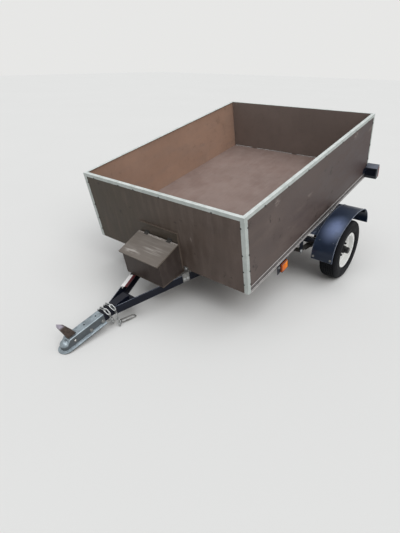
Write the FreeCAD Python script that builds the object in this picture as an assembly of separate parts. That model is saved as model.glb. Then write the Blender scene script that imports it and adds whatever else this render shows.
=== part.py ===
import FreeCAD, Part
import math
import os

from FreeCAD import Vector

# A single-axle utility trailer, built level and then set down nose first on its coupling.
# Millimetres. +X points forward to the coupling, +Y to the left, +Z up.
# While it is built, x = 0 and z = 0 lie on the axle's centre line.

# Load bed
BED_LENGTH = 1960.0
BED_WIDTH = 1480.0
BED_HEIGHT = 560.0
WALL = 12.0
FLOOR_THICKNESS = 12.0
FLOOR_RISE = 98.0
FLOOR_FIT = 1.0
BED_FRONT = 1104.0
BED_EDGE_HEIGHT = 252.0
TAIL_GAP = 6.0

# Aluminium trim on the bed
TRIM = 2.0
CAP_LEG = 25.0
CAP_JOINT_Y = 305.0
CAP_JOINT_GAP = 0.6
CORNER_LEG = 42.0
REAR_STRIP = 18.0
FOOT_HEIGHT = 34.0
FOOT_RETURN = 22.0
FOOT_JOINT_X = 440.0

# Chassis
BEARER = 40.0
BEARER_COUNT = 5
RAIL_HEIGHT = 75.0
RAIL_FLANGE = 50.0
RAIL_INSET = 35.0
CHANNEL = 4.0
CROSS_COUNT = 4
CHASSIS_INSET = 18.0

# Drawbar and coupling
LEG_FLANGE = 45.0
LEG_WALL = 4.0
LEG_ANGLE = 20.0
LEG_UNDER = 782.0
DRAWBAR_REACH = 546.0
DRAW_TUBE = 60.0
TUBE_WALL = 3.0
TUBE_DROP = 55.0
TUBE_BEHIND = 138.0
TUBE_SHORT = 119.0
SLEEVE_LENGTH = 287.0
SLEEVE_SHORT = 22.0
SLEEVE_FIT = 0.3
SHEET = 4.0
BALL_AHEAD = 374.0
BALL_RADIUS = 25.0
BALL_FIT = 0.4
LIP = 20.0
LIP_EDGE = 4.0
LIP_FLARE = 10.0
LIP_BELOW = 3.0
SOCKET_DEPTH = 5.0
HEAD_SHOULDER = 14.0
LATCH_SLOT_LENGTH = 62.0
LATCH_SLOT_DEPTH = 18.0
LATCH_WIDTH = 30.0
LATCH_PIN = 6.0
LATCH_PIN_HEAD = 3.0
# Latch lever's outline: x from its pin, z from the sleeve's top
LATCH_OUTLINE = ((-14, -40), (12, -40), (14, -18), (27, -10), (33, 18), (54, 104), (49, 125),
                 (13, 92), (-24, 20), (-27, -6))
BOLT = 6.0
BOLT_HEAD = 10.0
BOLT_DROP = 12.0
CROSS_BOLTS = (18.0, 114.0)
TOP_HOLES = (38.0, 131.0)
GUSSET = 4.0
GUSSET_REACH = 50.0
TIE_LENGTH = 54.0
TIE_ABOVE = 15.0
TIE_TAB = 40.0
TIE_TAB_ABOVE = 52.0

# Axle and springs
AXLE = 40.0
AXLE_OUT = 32.0
SPINDLE = 15.0
SPRING_INSET = 25.0
SPRING_WIDTH = 45.0
SPRING_HALF = 325.0
SPRING_RISE = 72.0
LEAF = 7.0
LEAF_COUNT = 3
LEAF_STEP = 90.0
EYE = 15.0
EYE_BORE = 8.0
PIN_FIT = 0.05
PAD_HALF = 45.0
HANGER_PLATE = 5.0
HANGER_HALF = 34.0
HANGER_FIT = 1.0
HANGER_PIN_REACH = 8.0
U_BOLT = 5.0
CLAMP_PLATE = 6.0
CLAMP_FIT = 0.5
CLAMP_MARGIN = 8.0
CLAMP_THREAD = 14.0

# Wheels
WHEEL_OUT = 147.5
TYRE_RADIUS = 243.0
TYRE_WIDTH = 145.0
TYRE_WALL = 10.0
TYRE_SHOULDER = 29.0
TYRE_BULGE = 53.0
TREAD_INSET = 14.0
TREAD_EDGE = 5.0
TREAD_DEPTH = 16.0
BEAD_RADIUS = 127.0
FLANGE_RADIUS = 146.0
RIM_HALF = 57.0
RIM_SHEET = 3.0
WELL_HALF = 16.0
WELL_SLOPE = 6.0
WELL_RADIUS = 109.0
BEAD_FIT = 0.3
DISC_FACE = 20.0
DISC = 4.0
DISH_RADIUS = 68.0
DISH_RUN = 12.0
HUB_BORE = 32.0
HUB_FIT = 0.5
HUB_FLANGE = 62.0
STUD_CIRCLE = 50.0
STUD_COUNT = 4
STUD = 6.0
NUT = 9.5
HUB_BARREL = 30.0
HUB_SHOULDER = 22.0
HUB_CAP = 26.0
HUB_CAP_REACH = 76.0
SPINDLE_SHORT = 26.0

# Mudguards
GUARD_SHEET = 2.0
GUARD_INSIDE = 87.5
GUARD_OUTSIDE = 78.5
GUARD_ABOVE = 71.0
GUARD_CROWN = 620.0
GUARD_CROWN_ANGLE = 20.0
GUARD_END = 200.0
STAY_CLEAR = 5.0
STAY_PLATE = 5.0
STAY_DEPTH = 32.0
STAY_INSET = 12.0
STAY_FIT = 0.3

# Locker on the drawbar
LOCKER_HALF = 186.0
LOCKER_REACH = 220.0
LOCKER_WALL = 12.0
LOCKER_BACK_HEIGHT = 326.0
LID_HALF = 192.0
LID_THICKNESS = 12.0
LOCKER_DEPTH = 253.0
LID_SLOPE = 13.3
LID_LENGTH = 232.0
LID_GAP = 6.5
LID_PIN = 2.5
LID_KNUCKLE = 5.0
LID_KNUCKLE_LENGTH = 40.0
LID_FIT = 0.3
LID_LEAF = 16.0
LID_LEAF_SHEET = 1.5
LID_HINGE_SPREAD = 0.6
KNUCKLE_FIT = 0.5
END_KNUCKLE = 0.6

# Tailboard furniture
HINGE_DROP = 8.0
HINGE_KNUCKLE = 7.0
HINGE_PIN = 3.0
HINGE_LEAF = 3.0
LEAF_ABOVE = 12.0
HINGE_Y = 480.0
HINGE_WIDTH = 60.0
STRAP_LENGTH = 150.0
BARREL_DROP = 52.0
BARREL_RADIUS = 5.0
BARREL_SHELL = 2.0
BARREL_OUT = 9.0
BARREL_LENGTH = 70.0
BARREL_PLATE = 56.0
BARREL_PLATE_HALF = 16.0
BARREL_CASE = 44.0
BARREL_INSET = 8.0
KEEPER_WALL = 4.0

# Lamps and reflectors
LAMP_WIDTH = 104.0
LAMP_HEIGHT = 96.0
LAMP_DEPTH = 40.0
LAMP_INSET = 56.0
LAMP_RISE = 10.0
LAMP_STANDOFF = 4.0
LAMP_FLANGE = 40.0
LENS_DEPTH = 20.0
BRACKET = 3.0
REFLECTOR_BACK = 508.0
REFLECTOR_DROP = 115.0
REFLECTOR_TAIL = 50.0
REFLECTOR_LENGTH = 84.0
REFLECTOR_HEIGHT = 68.0
REFLECTOR_DEPTH = 9.0
MARKER_LENGTH = 136.0
MARKER_WIDTH = 54.0
MARKER_BACK = 256.0
MARKER_SKIRT = 20.0

# Safety chain: oval links wound round the draw tube behind the coupling, its snap hook below.
# Lengths and widths of links and hook are between the middles of their wires.
LINK_WIRE = 3.0
LINK_WIDTH = 20.0
LINK_PLAY = 4.0
CHAIN_FIT = 0.3
CHAIN_STEP = 4.8
CHAIN_BEHIND = 2.0
WOUND_COUNT = 15
# Flats that make up each round end of a link on edge on the tube, and of any other ring
EDGE_FLAT_COUNT = 4
RING_FLAT_COUNT = 3
# Last links: the way each one lies and the way across its ring, on the ground's own axes
CHAIN_TAIL = (((0.0, 0.12, -0.99), (0.8, 0.6, 0.0)), ((0.0, 0.46, -0.89), (0.6, -0.8, 0.0)),
              ((-0.8, -0.6, -0.02), (0.0, 0.0, 1.0)))
HOOK_WAY = (-1.0, 0.12, -0.06)
HOOK_WIRE = 4.0
HOOK_LENGTH = 120.0
HOOK_WIDTH = 34.0
GATE_LENGTH = 52.0
GATE_WIRE = 5.5

# Levels and faces worked out from the sizes above
BED_REAR = BED_FRONT - BED_LENGTH
HALF = BED_WIDTH / 2
INNER = HALF - WALL
BED_TOP = BED_EDGE_HEIGHT + BED_HEIGHT
FLOOR_TOP = BED_EDGE_HEIGHT + FLOOR_RISE
FLOOR_BOTTOM = FLOOR_TOP - FLOOR_THICKNESS
TAIL_INSIDE = BED_REAR + WALL
FRONT_INSIDE = BED_FRONT - WALL
RAIL_TOP = FLOOR_BOTTOM - BEARER
RAIL_BOTTOM = RAIL_TOP - RAIL_HEIGHT
RAIL_Y = HALF - RAIL_INSET
TUBE_BOTTOM = RAIL_BOTTOM - TUBE_DROP
LEG_BOTTOM = TUBE_BOTTOM - GUSSET - LEG_WALL
LEG_REAR_X = BED_FRONT - LEG_UNDER
APEX_X = BED_FRONT + DRAWBAR_REACH
BALL_X = APEX_X + BALL_AHEAD
SLEEVE_REAR = BALL_X - SLEEVE_LENGTH
DRAW_TUBE_REAR = APEX_X - TUBE_BEHIND
DRAW_TUBE_FRONT = BALL_X - TUBE_SHORT
LIP_BOTTOM = TUBE_BOTTOM - LIP_BELOW
HINGE_X = BED_REAR - HINGE_DROP
HINGE_Z = FLOOR_TOP
TUBE_TOP = TUBE_BOTTOM + DRAW_TUBE
TUBE_MIDDLE = (TUBE_BOTTOM + TUBE_TOP) / 2
SLEEVE_HALF = DRAW_TUBE / 2 + SLEEVE_FIT
SLEEVE_SIDE = SLEEVE_HALF + SHEET
SLEEVE_TOP = TUBE_TOP + SLEEVE_FIT + SHEET
SLEEVE_END = BALL_X - SLEEVE_SHORT
LATCH_X = SLEEVE_END - LATCH_SLOT_LENGTH / 2
LATCH_Z = (LIP_BOTTOM + SLEEVE_TOP) / 2 + SHEET
BALL_Z = LIP_BOTTOM + SOCKET_DEPTH + BALL_RADIUS
NOSE_X = BALL_X + SLEEVE_SIDE + LIP
NOSE_REACH = math.hypot(NOSE_X, LIP_BOTTOM)
NOSE_DOWN = math.asin(TYRE_RADIUS / NOSE_REACH) + math.atan2(LIP_BOTTOM, NOSE_X)
LID_HINGE_X = BED_FRONT + LOCKER_WALL + LID_GAP
LID_REAR_Z = RAIL_BOTTOM + LOCKER_DEPTH
LOCKER_BACK_TOP = RAIL_BOTTOM + LOCKER_BACK_HEIGHT
AXLE_END = HALF + AXLE_OUT
WHEEL_Y = HALF + WHEEL_OUT
GUARD_INNER_Y = WHEEL_Y - GUARD_INSIDE
GUARD_OUTER_Y = WHEEL_Y + GUARD_OUTSIDE
GUARD_TOP = TYRE_RADIUS + GUARD_ABOVE
STAY_X = SPRING_HALF - HANGER_HALF - STAY_CLEAR
SPRING_Y = RAIL_Y - SPRING_INSET
SPRING_SEAT = AXLE / 2
MAIN_LEAF_Z = SPRING_SEAT + LEAF * (LEAF_COUNT - 0.5)
SPRING_RADIUS = (SPRING_HALF ** 2 + SPRING_RISE ** 2) / (2 * SPRING_RISE)
EYE_Z = MAIN_LEAF_Z + SPRING_RISE
PAD_TOP = MAIN_LEAF_Z + LEAF
BARREL_Z = BED_TOP - BARREL_DROP
LAMP_X = BED_REAR + LAMP_INSET
LAMP_Z = BED_EDGE_HEIGHT + LAMP_RISE
REFLECTOR_X = BED_FRONT - REFLECTOR_BACK
REFLECTOR_Z = RAIL_BOTTOM - REFLECTOR_DROP
CHAIN_X = SLEEVE_REAR - CHAIN_BEHIND - LINK_WIDTH / 2 - LINK_WIRE
CHAIN_REACH = DRAW_TUBE / 2 * math.sqrt(2) + LINK_WIRE + CHAIN_FIT
CHAIN_SIDE = 2 * CHAIN_REACH / (1 + math.sqrt(2))
LINK_PITCH = math.hypot(CHAIN_SIDE, CHAIN_STEP)
LINK_LENGTH = LINK_PITCH + 2 * LINK_WIRE + LINK_PLAY
LINK_END = (LINK_LENGTH - LINK_PITCH) / 2


def block(x0, x1, y0, y1, z0, z1):
    return Part.makeBox(x1 - x0, y1 - y0, z1 - z0, Vector(x0, y0, z0))


def rod(start, end, radius):
    line = end - start
    return Part.makeCylinder(radius, line.Length, start, line)


def mirrored(shape):
    return shape.mirror(Vector(0, 0, 0), Vector(0, 1, 0))


def both_sides(shape):
    return [shape, mirrored(shape)]


def fused(shapes):
    first, *rest = shapes
    return first.multiFuse(rest).removeSplitter() if rest else first


def prism_y(points_xz, y0, y1):
    """Extrude an outline drawn in x and z across the trailer."""
    outline = Part.makePolygon([Vector(x, y0, z) for x, z in points_xz + points_xz[:1]])
    return Part.Face(outline).extrude(Vector(0, y1 - y0, 0))


def prism_x(points_yz, x0, x1):
    """Extrude an outline drawn in y and z along the trailer."""
    outline = Part.makePolygon([Vector(x0, y, z) for y, z in points_yz + points_yz[:1]])
    return Part.Face(outline).extrude(Vector(x1 - x0, 0, 0))


def prism_z(points_xy, z0, z1):
    """Extrude an outline drawn in x and y upward."""
    outline = Part.makePolygon([Vector(x, y, z0) for x, y in points_xy + points_xy[:1]])
    return Part.Face(outline).extrude(Vector(0, 0, z1 - z0))


def turned(points_yr, y):
    """Revolve an outline of (offset along y, radius) round an axle that crosses y."""
    outline = Part.makePolygon([Vector(0, y + dy, r) for dy, r in points_yr + points_yr[:1]])
    return Part.Face(outline).revolve(Vector(0, 0, 0), Vector(0, 1, 0), 360)


# Load bed


def side_board():
    return block(BED_REAR, BED_FRONT, INNER, HALF, BED_EDGE_HEIGHT, BED_TOP)


def front_board():
    return block(FRONT_INSIDE, BED_FRONT, -INNER, INNER, BED_EDGE_HEIGHT, BED_TOP)


def rear_sill():
    return block(BED_REAR, TAIL_INSIDE, -INNER, INNER, BED_EDGE_HEIGHT, FLOOR_BOTTOM)


def floor_board():
    reach = INNER - FLOOR_FIT
    return block(BED_REAR + FLOOR_FIT, FRONT_INSIDE - FLOOR_FIT, -reach, reach,
                 FLOOR_BOTTOM, FLOOR_TOP)


def floor_bearers():
    first = TAIL_INSIDE
    step = (FRONT_INSIDE - BEARER - first) / (BEARER_COUNT - 1)
    starts = [first + step * i for i in range(BEARER_COUNT)]
    return [block(x, x + BEARER, -INNER, INNER, RAIL_TOP, FLOOR_BOTTOM) for x in starts]


def tailboard():
    reach = INNER - TAIL_GAP
    return block(BED_REAR, TAIL_INSIDE, -reach, reach, FLOOR_TOP + TAIL_GAP, BED_TOP)


# Aluminium trim


def cap_side():
    top = block(BED_REAR + REAR_STRIP, BED_FRONT + TRIM, HALF + TRIM - CAP_LEG, HALF + TRIM,
                BED_TOP, BED_TOP + TRIM)
    skirt = block(BED_REAR + REAR_STRIP, BED_FRONT + TRIM, HALF, HALF + TRIM,
                  BED_TOP + TRIM - CAP_LEG, BED_TOP)
    return fused([top, skirt]).cut(mitre_block(front=True))


def mitre_block(front):
    """The half of a front top corner that belongs to the front cap, or else to the side cap."""
    x, y = BED_FRONT + TRIM, HALF + TRIM
    far = 2 * CAP_LEG
    outer = (x + far, y - far) if front else (x - far, y + far)
    return prism_z([(x - far, y - far), outer, (x + far, y + far)], BED_TOP - far, BED_TOP + far)


def cap_front():
    top = block(BED_FRONT + TRIM - CAP_LEG, BED_FRONT + TRIM, -HALF - TRIM, HALF + TRIM,
                BED_TOP, BED_TOP + TRIM)
    skirt = block(BED_FRONT, BED_FRONT + TRIM, -HALF - TRIM, HALF + TRIM,
                  BED_TOP + TRIM - CAP_LEG, BED_TOP)
    angle = fused([top, skirt])
    for corner in both_sides(mitre_block(front=False)):
        angle = angle.cut(corner)
    joint = block(BED_FRONT - 2 * CAP_LEG, BED_FRONT + 2 * CAP_LEG, CAP_JOINT_Y,
                  CAP_JOINT_Y + CAP_JOINT_GAP, BED_TOP - 2 * CAP_LEG, BED_TOP + 2 * CAP_LEG)
    return angle.cut(joint).Solids


def cap_tail():
    reach = INNER - TAIL_GAP
    top = block(BED_REAR - TRIM, TAIL_INSIDE, -reach, reach, BED_TOP, BED_TOP + TRIM)
    skirt = block(BED_REAR - TRIM, BED_REAR, -reach, reach, BED_TOP + TRIM - CAP_LEG, BED_TOP)
    return fused([top, skirt])


def corner_angle_front():
    top = BED_TOP + TRIM - CAP_LEG
    face = block(BED_FRONT, BED_FRONT + TRIM, HALF + TRIM - CORNER_LEG, HALF + TRIM,
                 BED_EDGE_HEIGHT, top)
    side = block(BED_FRONT + TRIM - CORNER_LEG, BED_FRONT + TRIM, HALF, HALF + TRIM,
                 BED_EDGE_HEIGHT, top)
    return fused([face, side])


def corner_strip_rear():
    side = block(BED_REAR - TRIM, BED_REAR + REAR_STRIP, HALF, HALF + TRIM,
                 BED_EDGE_HEIGHT + FOOT_HEIGHT, BED_TOP + TRIM)
    face = block(BED_REAR - TRIM, BED_REAR, INNER, HALF + TRIM,
                 BED_EDGE_HEIGHT + FOOT_HEIGHT, BED_TOP + TRIM)
    tab = block(BED_REAR - TRIM, BED_REAR + REAR_STRIP, INNER, HALF + TRIM,
                BED_TOP, BED_TOP + TRIM)
    return fused([side, face, tab])


def corner_angles():
    return both_sides(corner_angle_front()) + both_sides(corner_strip_rear())


def foot_strip():
    front = BED_FRONT + TRIM - CORNER_LEG
    face = block(BED_REAR, front, HALF, HALF + TRIM, BED_EDGE_HEIGHT - TRIM,
                 BED_EDGE_HEIGHT + FOOT_HEIGHT)
    under = block(BED_REAR, front, HALF + TRIM - FOOT_RETURN, HALF + TRIM,
                  BED_EDGE_HEIGHT - TRIM, BED_EDGE_HEIGHT)
    joint = block(FOOT_JOINT_X, FOOT_JOINT_X + CAP_JOINT_GAP, INNER, HALF + CAP_LEG,
                  BED_EDGE_HEIGHT - CAP_LEG, BED_EDGE_HEIGHT + 2 * FOOT_HEIGHT)
    return fused([face, under]).cut(joint).Solids


# Chassis


def channel_y(web_x, y_reach):
    """A cross member: a channel on its side, open to the rear."""
    web = block(web_x - CHANNEL, web_x, -y_reach, y_reach, RAIL_BOTTOM, RAIL_TOP)
    flanges = [block(web_x - RAIL_FLANGE, web_x, -y_reach, y_reach, z, z + CHANNEL)
               for z in (RAIL_BOTTOM, RAIL_TOP - CHANNEL)]
    return fused([web] + flanges)


def side_rail():
    """A side rail: a channel with its web outside."""
    rear, front = TAIL_INSIDE, FRONT_INSIDE - CHASSIS_INSET
    web = block(rear, front, RAIL_Y - CHANNEL, RAIL_Y, RAIL_BOTTOM, RAIL_TOP)
    flanges = [block(rear, front, RAIL_Y - RAIL_FLANGE, RAIL_Y, z, z + CHANNEL)
               for z in (RAIL_BOTTOM, RAIL_TOP - CHANNEL)]
    return fused([web] + flanges)


def cross_members():
    front = FRONT_INSIDE - CHASSIS_INSET
    rear = TAIL_INSIDE + RAIL_FLANGE
    step = (front - rear) / (CROSS_COUNT - 1)
    return [channel_y(front - step * i, RAIL_Y - RAIL_FLANGE) for i in range(CROSS_COUNT)]


def on_leg(shape):
    """Carry a shape to the left leg from where x runs along the leg's outer side, y = 0 on it."""
    shape.rotate(Vector(0, 0, 0), Vector(0, 0, 1), -LEG_ANGLE)
    shape.translate(Vector(APEX_X, DRAW_TUBE / 2, 0))
    return shape


def drawbar_leg():
    """Left leg: an angle, its web outside, cut to meet the draw tube's side and square behind."""
    length = 2 * APEX_X
    web = block(-length, length, -LEG_WALL, 0, LEG_BOTTOM, RAIL_BOTTOM)
    flange = block(-length, length, -LEG_FLANGE, 0, LEG_BOTTOM, LEG_BOTTOM + LEG_WALL)
    keep = block(LEG_REAR_X, APEX_X, DRAW_TUBE / 2, BED_WIDTH, LEG_BOTTOM, RAIL_BOTTOM)
    return on_leg(fused([web, flange])).common(keep)


def draw_tube():
    """Square tube with the plate under it that rests on the legs' flanges."""
    half, wall = DRAW_TUBE / 2, TUBE_WALL
    tube = block(DRAW_TUBE_REAR, DRAW_TUBE_FRONT, -half, half, TUBE_BOTTOM, TUBE_TOP)
    bore = block(DRAW_TUBE_REAR, DRAW_TUBE_FRONT, wall - half, half - wall,
                 TUBE_BOTTOM + wall, TUBE_TOP - wall)
    angle = math.radians(LEG_ANGLE)
    rear = DRAW_TUBE_REAR - GUSSET_REACH
    front = APEX_X - LEG_WALL / math.sin(angle)
    side = half + (front - rear) * math.tan(angle)
    plate = prism_z([(front, -half), (rear, -side), (rear, side), (front, half)],
                    TUBE_BOTTOM - GUSSET, TUBE_BOTTOM)
    body = fused([tube.cut(bore), plate, chain_staple()])
    return body.cut(coupling_bolt_holes(BOLT + PIN_FIT)).cut(coupling_top_holes())


def leg_bracket():
    """Plate on the left leg's outer side with a tab that ties it to the front board."""
    start = (BED_FRONT - APEX_X) / math.cos(math.radians(LEG_ANGLE))
    plate = on_leg(block(start, start + TIE_LENGTH, 0, BRACKET, LEG_BOTTOM + LEG_WALL,
                         RAIL_BOTTOM + TIE_ABOVE))
    y = DRAW_TUBE / 2 + (APEX_X - BED_FRONT) * math.tan(math.radians(LEG_ANGLE))
    tab = block(BED_FRONT, BED_FRONT + BRACKET, y - TIE_TAB, y + BRACKET, RAIL_BOTTOM,
                RAIL_BOTTOM + TIE_TAB_ABOVE)
    return fused([plate, tab])


def drawbar_marker():
    """Marker plate on top of the right leg, its skirt down the web's inner side."""
    rear, front = -MARKER_BACK - MARKER_LENGTH / 2, -MARKER_BACK + MARKER_LENGTH / 2
    plate = block(rear, front, -MARKER_WIDTH, 0, RAIL_BOTTOM, RAIL_BOTTOM + BRACKET)
    skirt = block(rear, front, -LEG_WALL - BRACKET, -LEG_WALL, RAIL_BOTTOM - MARKER_SKIRT,
                  RAIL_BOTTOM)
    return mirrored(on_leg(fused([plate, skirt])))


# Coupling


def coupling_bolt_holes(radius):
    """Rods across the coupling's sleeve, as wide as the whole coupling."""
    reach = SLEEVE_SIDE + LIP
    z = TUBE_MIDDLE - BOLT_DROP
    xs = [SLEEVE_REAR + offset for offset in CROSS_BOLTS]
    return fused([rod(Vector(x, -reach, z), Vector(x, reach, z), radius) for x in xs])


def coupling_top_holes():
    """Rods down through the sleeve's top plate and the tube."""
    xs = [SLEEVE_REAR + offset for offset in TOP_HOLES]
    return fused([rod(Vector(x, 0, TUBE_BOTTOM - SHEET), Vector(x, 0, SLEEVE_TOP + SHEET), BOLT)
                  for x in xs])


def coupling_lip():
    """Lip that flares out along the sleeve's foot and round the nose."""
    foot, edge, top = LIP_BOTTOM, LIP_BOTTOM + LIP_EDGE, LIP_BOTTOM + LIP_FLARE
    side, out = SLEEVE_SIDE, SLEEVE_SIDE + LIP
    flares = prism_x([(-out, foot), (out, foot), (out, edge), (side, top), (-side, top),
                      (-out, edge)], SLEEVE_REAR, BALL_X)
    rim_edge = Part.makeCylinder(out, LIP_EDGE, Vector(BALL_X, 0, foot))
    flare = Part.makeCone(out, side, LIP_FLARE - LIP_EDGE, Vector(BALL_X, 0, edge))
    return fused([flares, rim_edge, flare])


def coupling_body():
    """Pressed sleeve that runs into a round head over the ball, with its lip and openings."""
    shoulder = SLEEVE_TOP - SHEET
    side = SLEEVE_SIDE
    sleeve = prism_y([(SLEEVE_REAR, LIP_BOTTOM), (SLEEVE_REAR, SLEEVE_TOP),
                      (SLEEVE_END, SLEEVE_TOP), (BALL_X, BALL_Z + HEAD_SHOULDER),
                      (BALL_X, LIP_BOTTOM)], -side, side)
    ridges = [e for e in sleeve.Edges if min(v.Z for v in e.Vertexes) > BALL_Z
              and abs(e.Vertexes[0].X - e.Vertexes[1].X) > 1]
    nose = Part.makeCylinder(side, BALL_Z - LIP_BOTTOM, Vector(BALL_X, 0, LIP_BOTTOM))
    dome = Part.makeSphere(side, Vector(BALL_X, 0, BALL_Z))
    dome = dome.common(block(BALL_X - side, NOSE_X, -HALF, HALF, BALL_Z, BED_TOP))
    body = fused([sleeve.makeFillet(SHEET * 1.5, ridges), nose, dome, coupling_lip()])
    front = BALL_X - side
    tube_room = block(SLEEVE_REAR, DRAW_TUBE_FRONT + 1.0, -SLEEVE_HALF, SLEEVE_HALF,
                      LIP_BOTTOM, shoulder)
    jaw_room = block(DRAW_TUBE_FRONT, front, -SLEEVE_HALF, SLEEVE_HALF, LIP_BOTTOM, shoulder)
    slot = block(SLEEVE_END - LATCH_SLOT_LENGTH, SLEEVE_END, -LATCH_WIDTH / 2 - 1,
                 LATCH_WIDTH / 2 + 1, SLEEVE_TOP - LATCH_SLOT_DEPTH, SLEEVE_TOP + 1)
    radius = BALL_RADIUS + BALL_FIT
    socket = fused([Part.makeSphere(radius, Vector(BALL_X, 0, BALL_Z)),
                    rod(Vector(BALL_X, 0, LIP_BOTTOM), Vector(BALL_X, 0, BALL_Z), radius)])
    pin_hole = rod(Vector(LATCH_X, -side, LATCH_Z), Vector(LATCH_X, side, LATCH_Z),
                   LATCH_PIN + PIN_FIT)
    holes = [coupling_bolt_holes(BOLT + PIN_FIT), coupling_top_holes(), pin_hole]
    for cut in [tube_room, jaw_room, slot, socket] + holes:
        body = body.cut(cut)
    return body


def coupling_latch():
    """Latch lever, standing up and forward out of its slot on a pin through the sides."""
    half, side = LATCH_WIDTH / 2, SLEEVE_SIDE
    lever = prism_y([(LATCH_X + x, SLEEVE_TOP + z) for x, z in LATCH_OUTLINE], -half, half)
    pin = rod(Vector(LATCH_X, -side, LATCH_Z), Vector(LATCH_X, side, LATCH_Z), LATCH_PIN)
    heads = [rod(Vector(LATCH_X, s * side, LATCH_Z), Vector(LATCH_X, s * (side + LATCH_PIN_HEAD),
                                                            LATCH_Z), BOLT_HEAD)
             for s in (-1, 1)]
    return fused([lever, pin] + heads)


def coupling_bolts():
    """Cross bolts through sleeve and tube, each with its head and nut."""
    face = SLEEVE_SIDE
    z = TUBE_MIDDLE - BOLT_DROP
    bolts = []
    for x in [SLEEVE_REAR + offset for offset in CROSS_BOLTS]:
        shank = rod(Vector(x, -face - BOLT, z), Vector(x, face + BOLT, z), BOLT)
        heads = [rod(Vector(x, side * face, z), Vector(x, side * (face + BOLT), z), BOLT_HEAD)
                 for side in (-1, 1)]
        bolts.append(fused([shank] + heads))
    return bolts


# Axle and springs


def axle_beam():
    beam = block(-AXLE / 2, AXLE / 2, -AXLE_END, AXLE_END, -AXLE / 2, AXLE / 2)
    tip = WHEEL_Y + HUB_CAP_REACH - SPINDLE_SHORT
    return fused([beam, rod(Vector(0, -tip, 0), Vector(0, tip, 0), SPINDLE)])


def ring_sector(radius_in, radius_out, half_angle):
    """Part of a ring in x and z below its centre, either side of straight down."""
    centre = Vector(0, 0, MAIN_LEAF_Z + SPRING_RADIUS)

    def at(radius, angle):
        return centre + Vector(radius * math.sin(angle), 0, -radius * math.cos(angle))

    a = half_angle
    outer = Part.Arc(at(radius_out, -a), at(radius_out, 0), at(radius_out, a)).toShape()
    inner = Part.Arc(at(radius_in, a), at(radius_in, 0), at(radius_in, -a)).toShape()
    ends = [Part.makeLine(at(radius_out, a), at(radius_in, a)),
            Part.makeLine(at(radius_in, -a), at(radius_out, -a))]
    return Part.Face(Part.Wire([outer, ends[0], inner, ends[1]]))


def leaf_spring():
    y0 = SPRING_Y - SPRING_WIDTH / 2
    leaves = []
    for i in range(LEAF_COUNT):
        half = SPRING_HALF - LEAF_STEP * i
        inner = SPRING_RADIUS + LEAF * (i - 0.5)
        face = ring_sector(inner, inner + LEAF, math.asin(half / SPRING_RADIUS))
        leaf = face.extrude(Vector(0, SPRING_WIDTH, 0))
        leaf.translate(Vector(0, y0, 0))
        leaves.append(leaf)
    pad = block(-PAD_HALF, PAD_HALF, y0, y0 + SPRING_WIDTH, SPRING_SEAT, PAD_TOP)
    eyes = [rod(Vector(x, y0, EYE_Z), Vector(x, y0 + SPRING_WIDTH, EYE_Z), EYE)
            for x in (-SPRING_HALF, SPRING_HALF)]
    bores = [rod(Vector(x, y0, EYE_Z), Vector(x, y0 + SPRING_WIDTH, EYE_Z), EYE_BORE)
             for x in (-SPRING_HALF, SPRING_HALF)]
    spring = fused(leaves + [pad] + eyes)
    for bore in bores:
        spring = spring.cut(bore)
    below = block(-PAD_HALF, PAD_HALF, y0, y0 + SPRING_WIDTH, 0, SPRING_SEAT)
    return spring.cut(below)


def spring_hanger(x):
    """Two cheek plates under the rail with the pin that carries the spring's eye."""
    gap = SPRING_WIDTH / 2 + HANGER_FIT
    cheeks = []
    for y in (SPRING_Y - gap - HANGER_PLATE, SPRING_Y + gap):
        outline = [(x - HANGER_HALF, RAIL_BOTTOM), (x - EYE, EYE_Z - EYE),
                   (x + EYE, EYE_Z - EYE), (x + HANGER_HALF, RAIL_BOTTOM)]
        cheeks.append(prism_y(outline, y, y + HANGER_PLATE))
    reach = gap + HANGER_PLATE + HANGER_PIN_REACH
    pin = rod(Vector(x, SPRING_Y - reach, EYE_Z), Vector(x, SPRING_Y + reach, EYE_Z),
              EYE_BORE - PIN_FIT)
    bridge = block(x - HANGER_HALF, x + HANGER_HALF, SPRING_Y - gap, SPRING_Y + gap,
                   RAIL_BOTTOM - HANGER_PLATE, RAIL_BOTTOM)
    return fused(cheeks + [pin, bridge])


def spring_hangers():
    pairs = [both_sides(spring_hanger(x)) for x in (-SPRING_HALF, SPRING_HALF)]
    return [hanger for pair in pairs for hanger in pair]


def axle_clamp():
    """Two U-bolts with their plates hold spring and axle together."""
    out = SPRING_WIDTH / 2 + U_BOLT + CLAMP_FIT
    low = -AXLE / 2 - CLAMP_PLATE
    x_leg = AXLE / 2 + U_BOLT + CLAMP_FIT
    side = out + CLAMP_MARGIN
    lower = block(-PAD_HALF, PAD_HALF, SPRING_Y - side, SPRING_Y + side, low, -AXLE / 2)
    pieces = [lower]
    for x in (-x_leg, x_leg):
        pieces += [rod(Vector(x, y, low - CLAMP_THREAD), Vector(x, y, PAD_TOP + U_BOLT), U_BOLT)
                   for y in (SPRING_Y - out, SPRING_Y + out)]
        pieces.append(rod(Vector(x, SPRING_Y - out - U_BOLT, PAD_TOP + U_BOLT),
                          Vector(x, SPRING_Y + out + U_BOLT, PAD_TOP + U_BOLT), U_BOLT))
    return fused(pieces)


# Wheels


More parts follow.
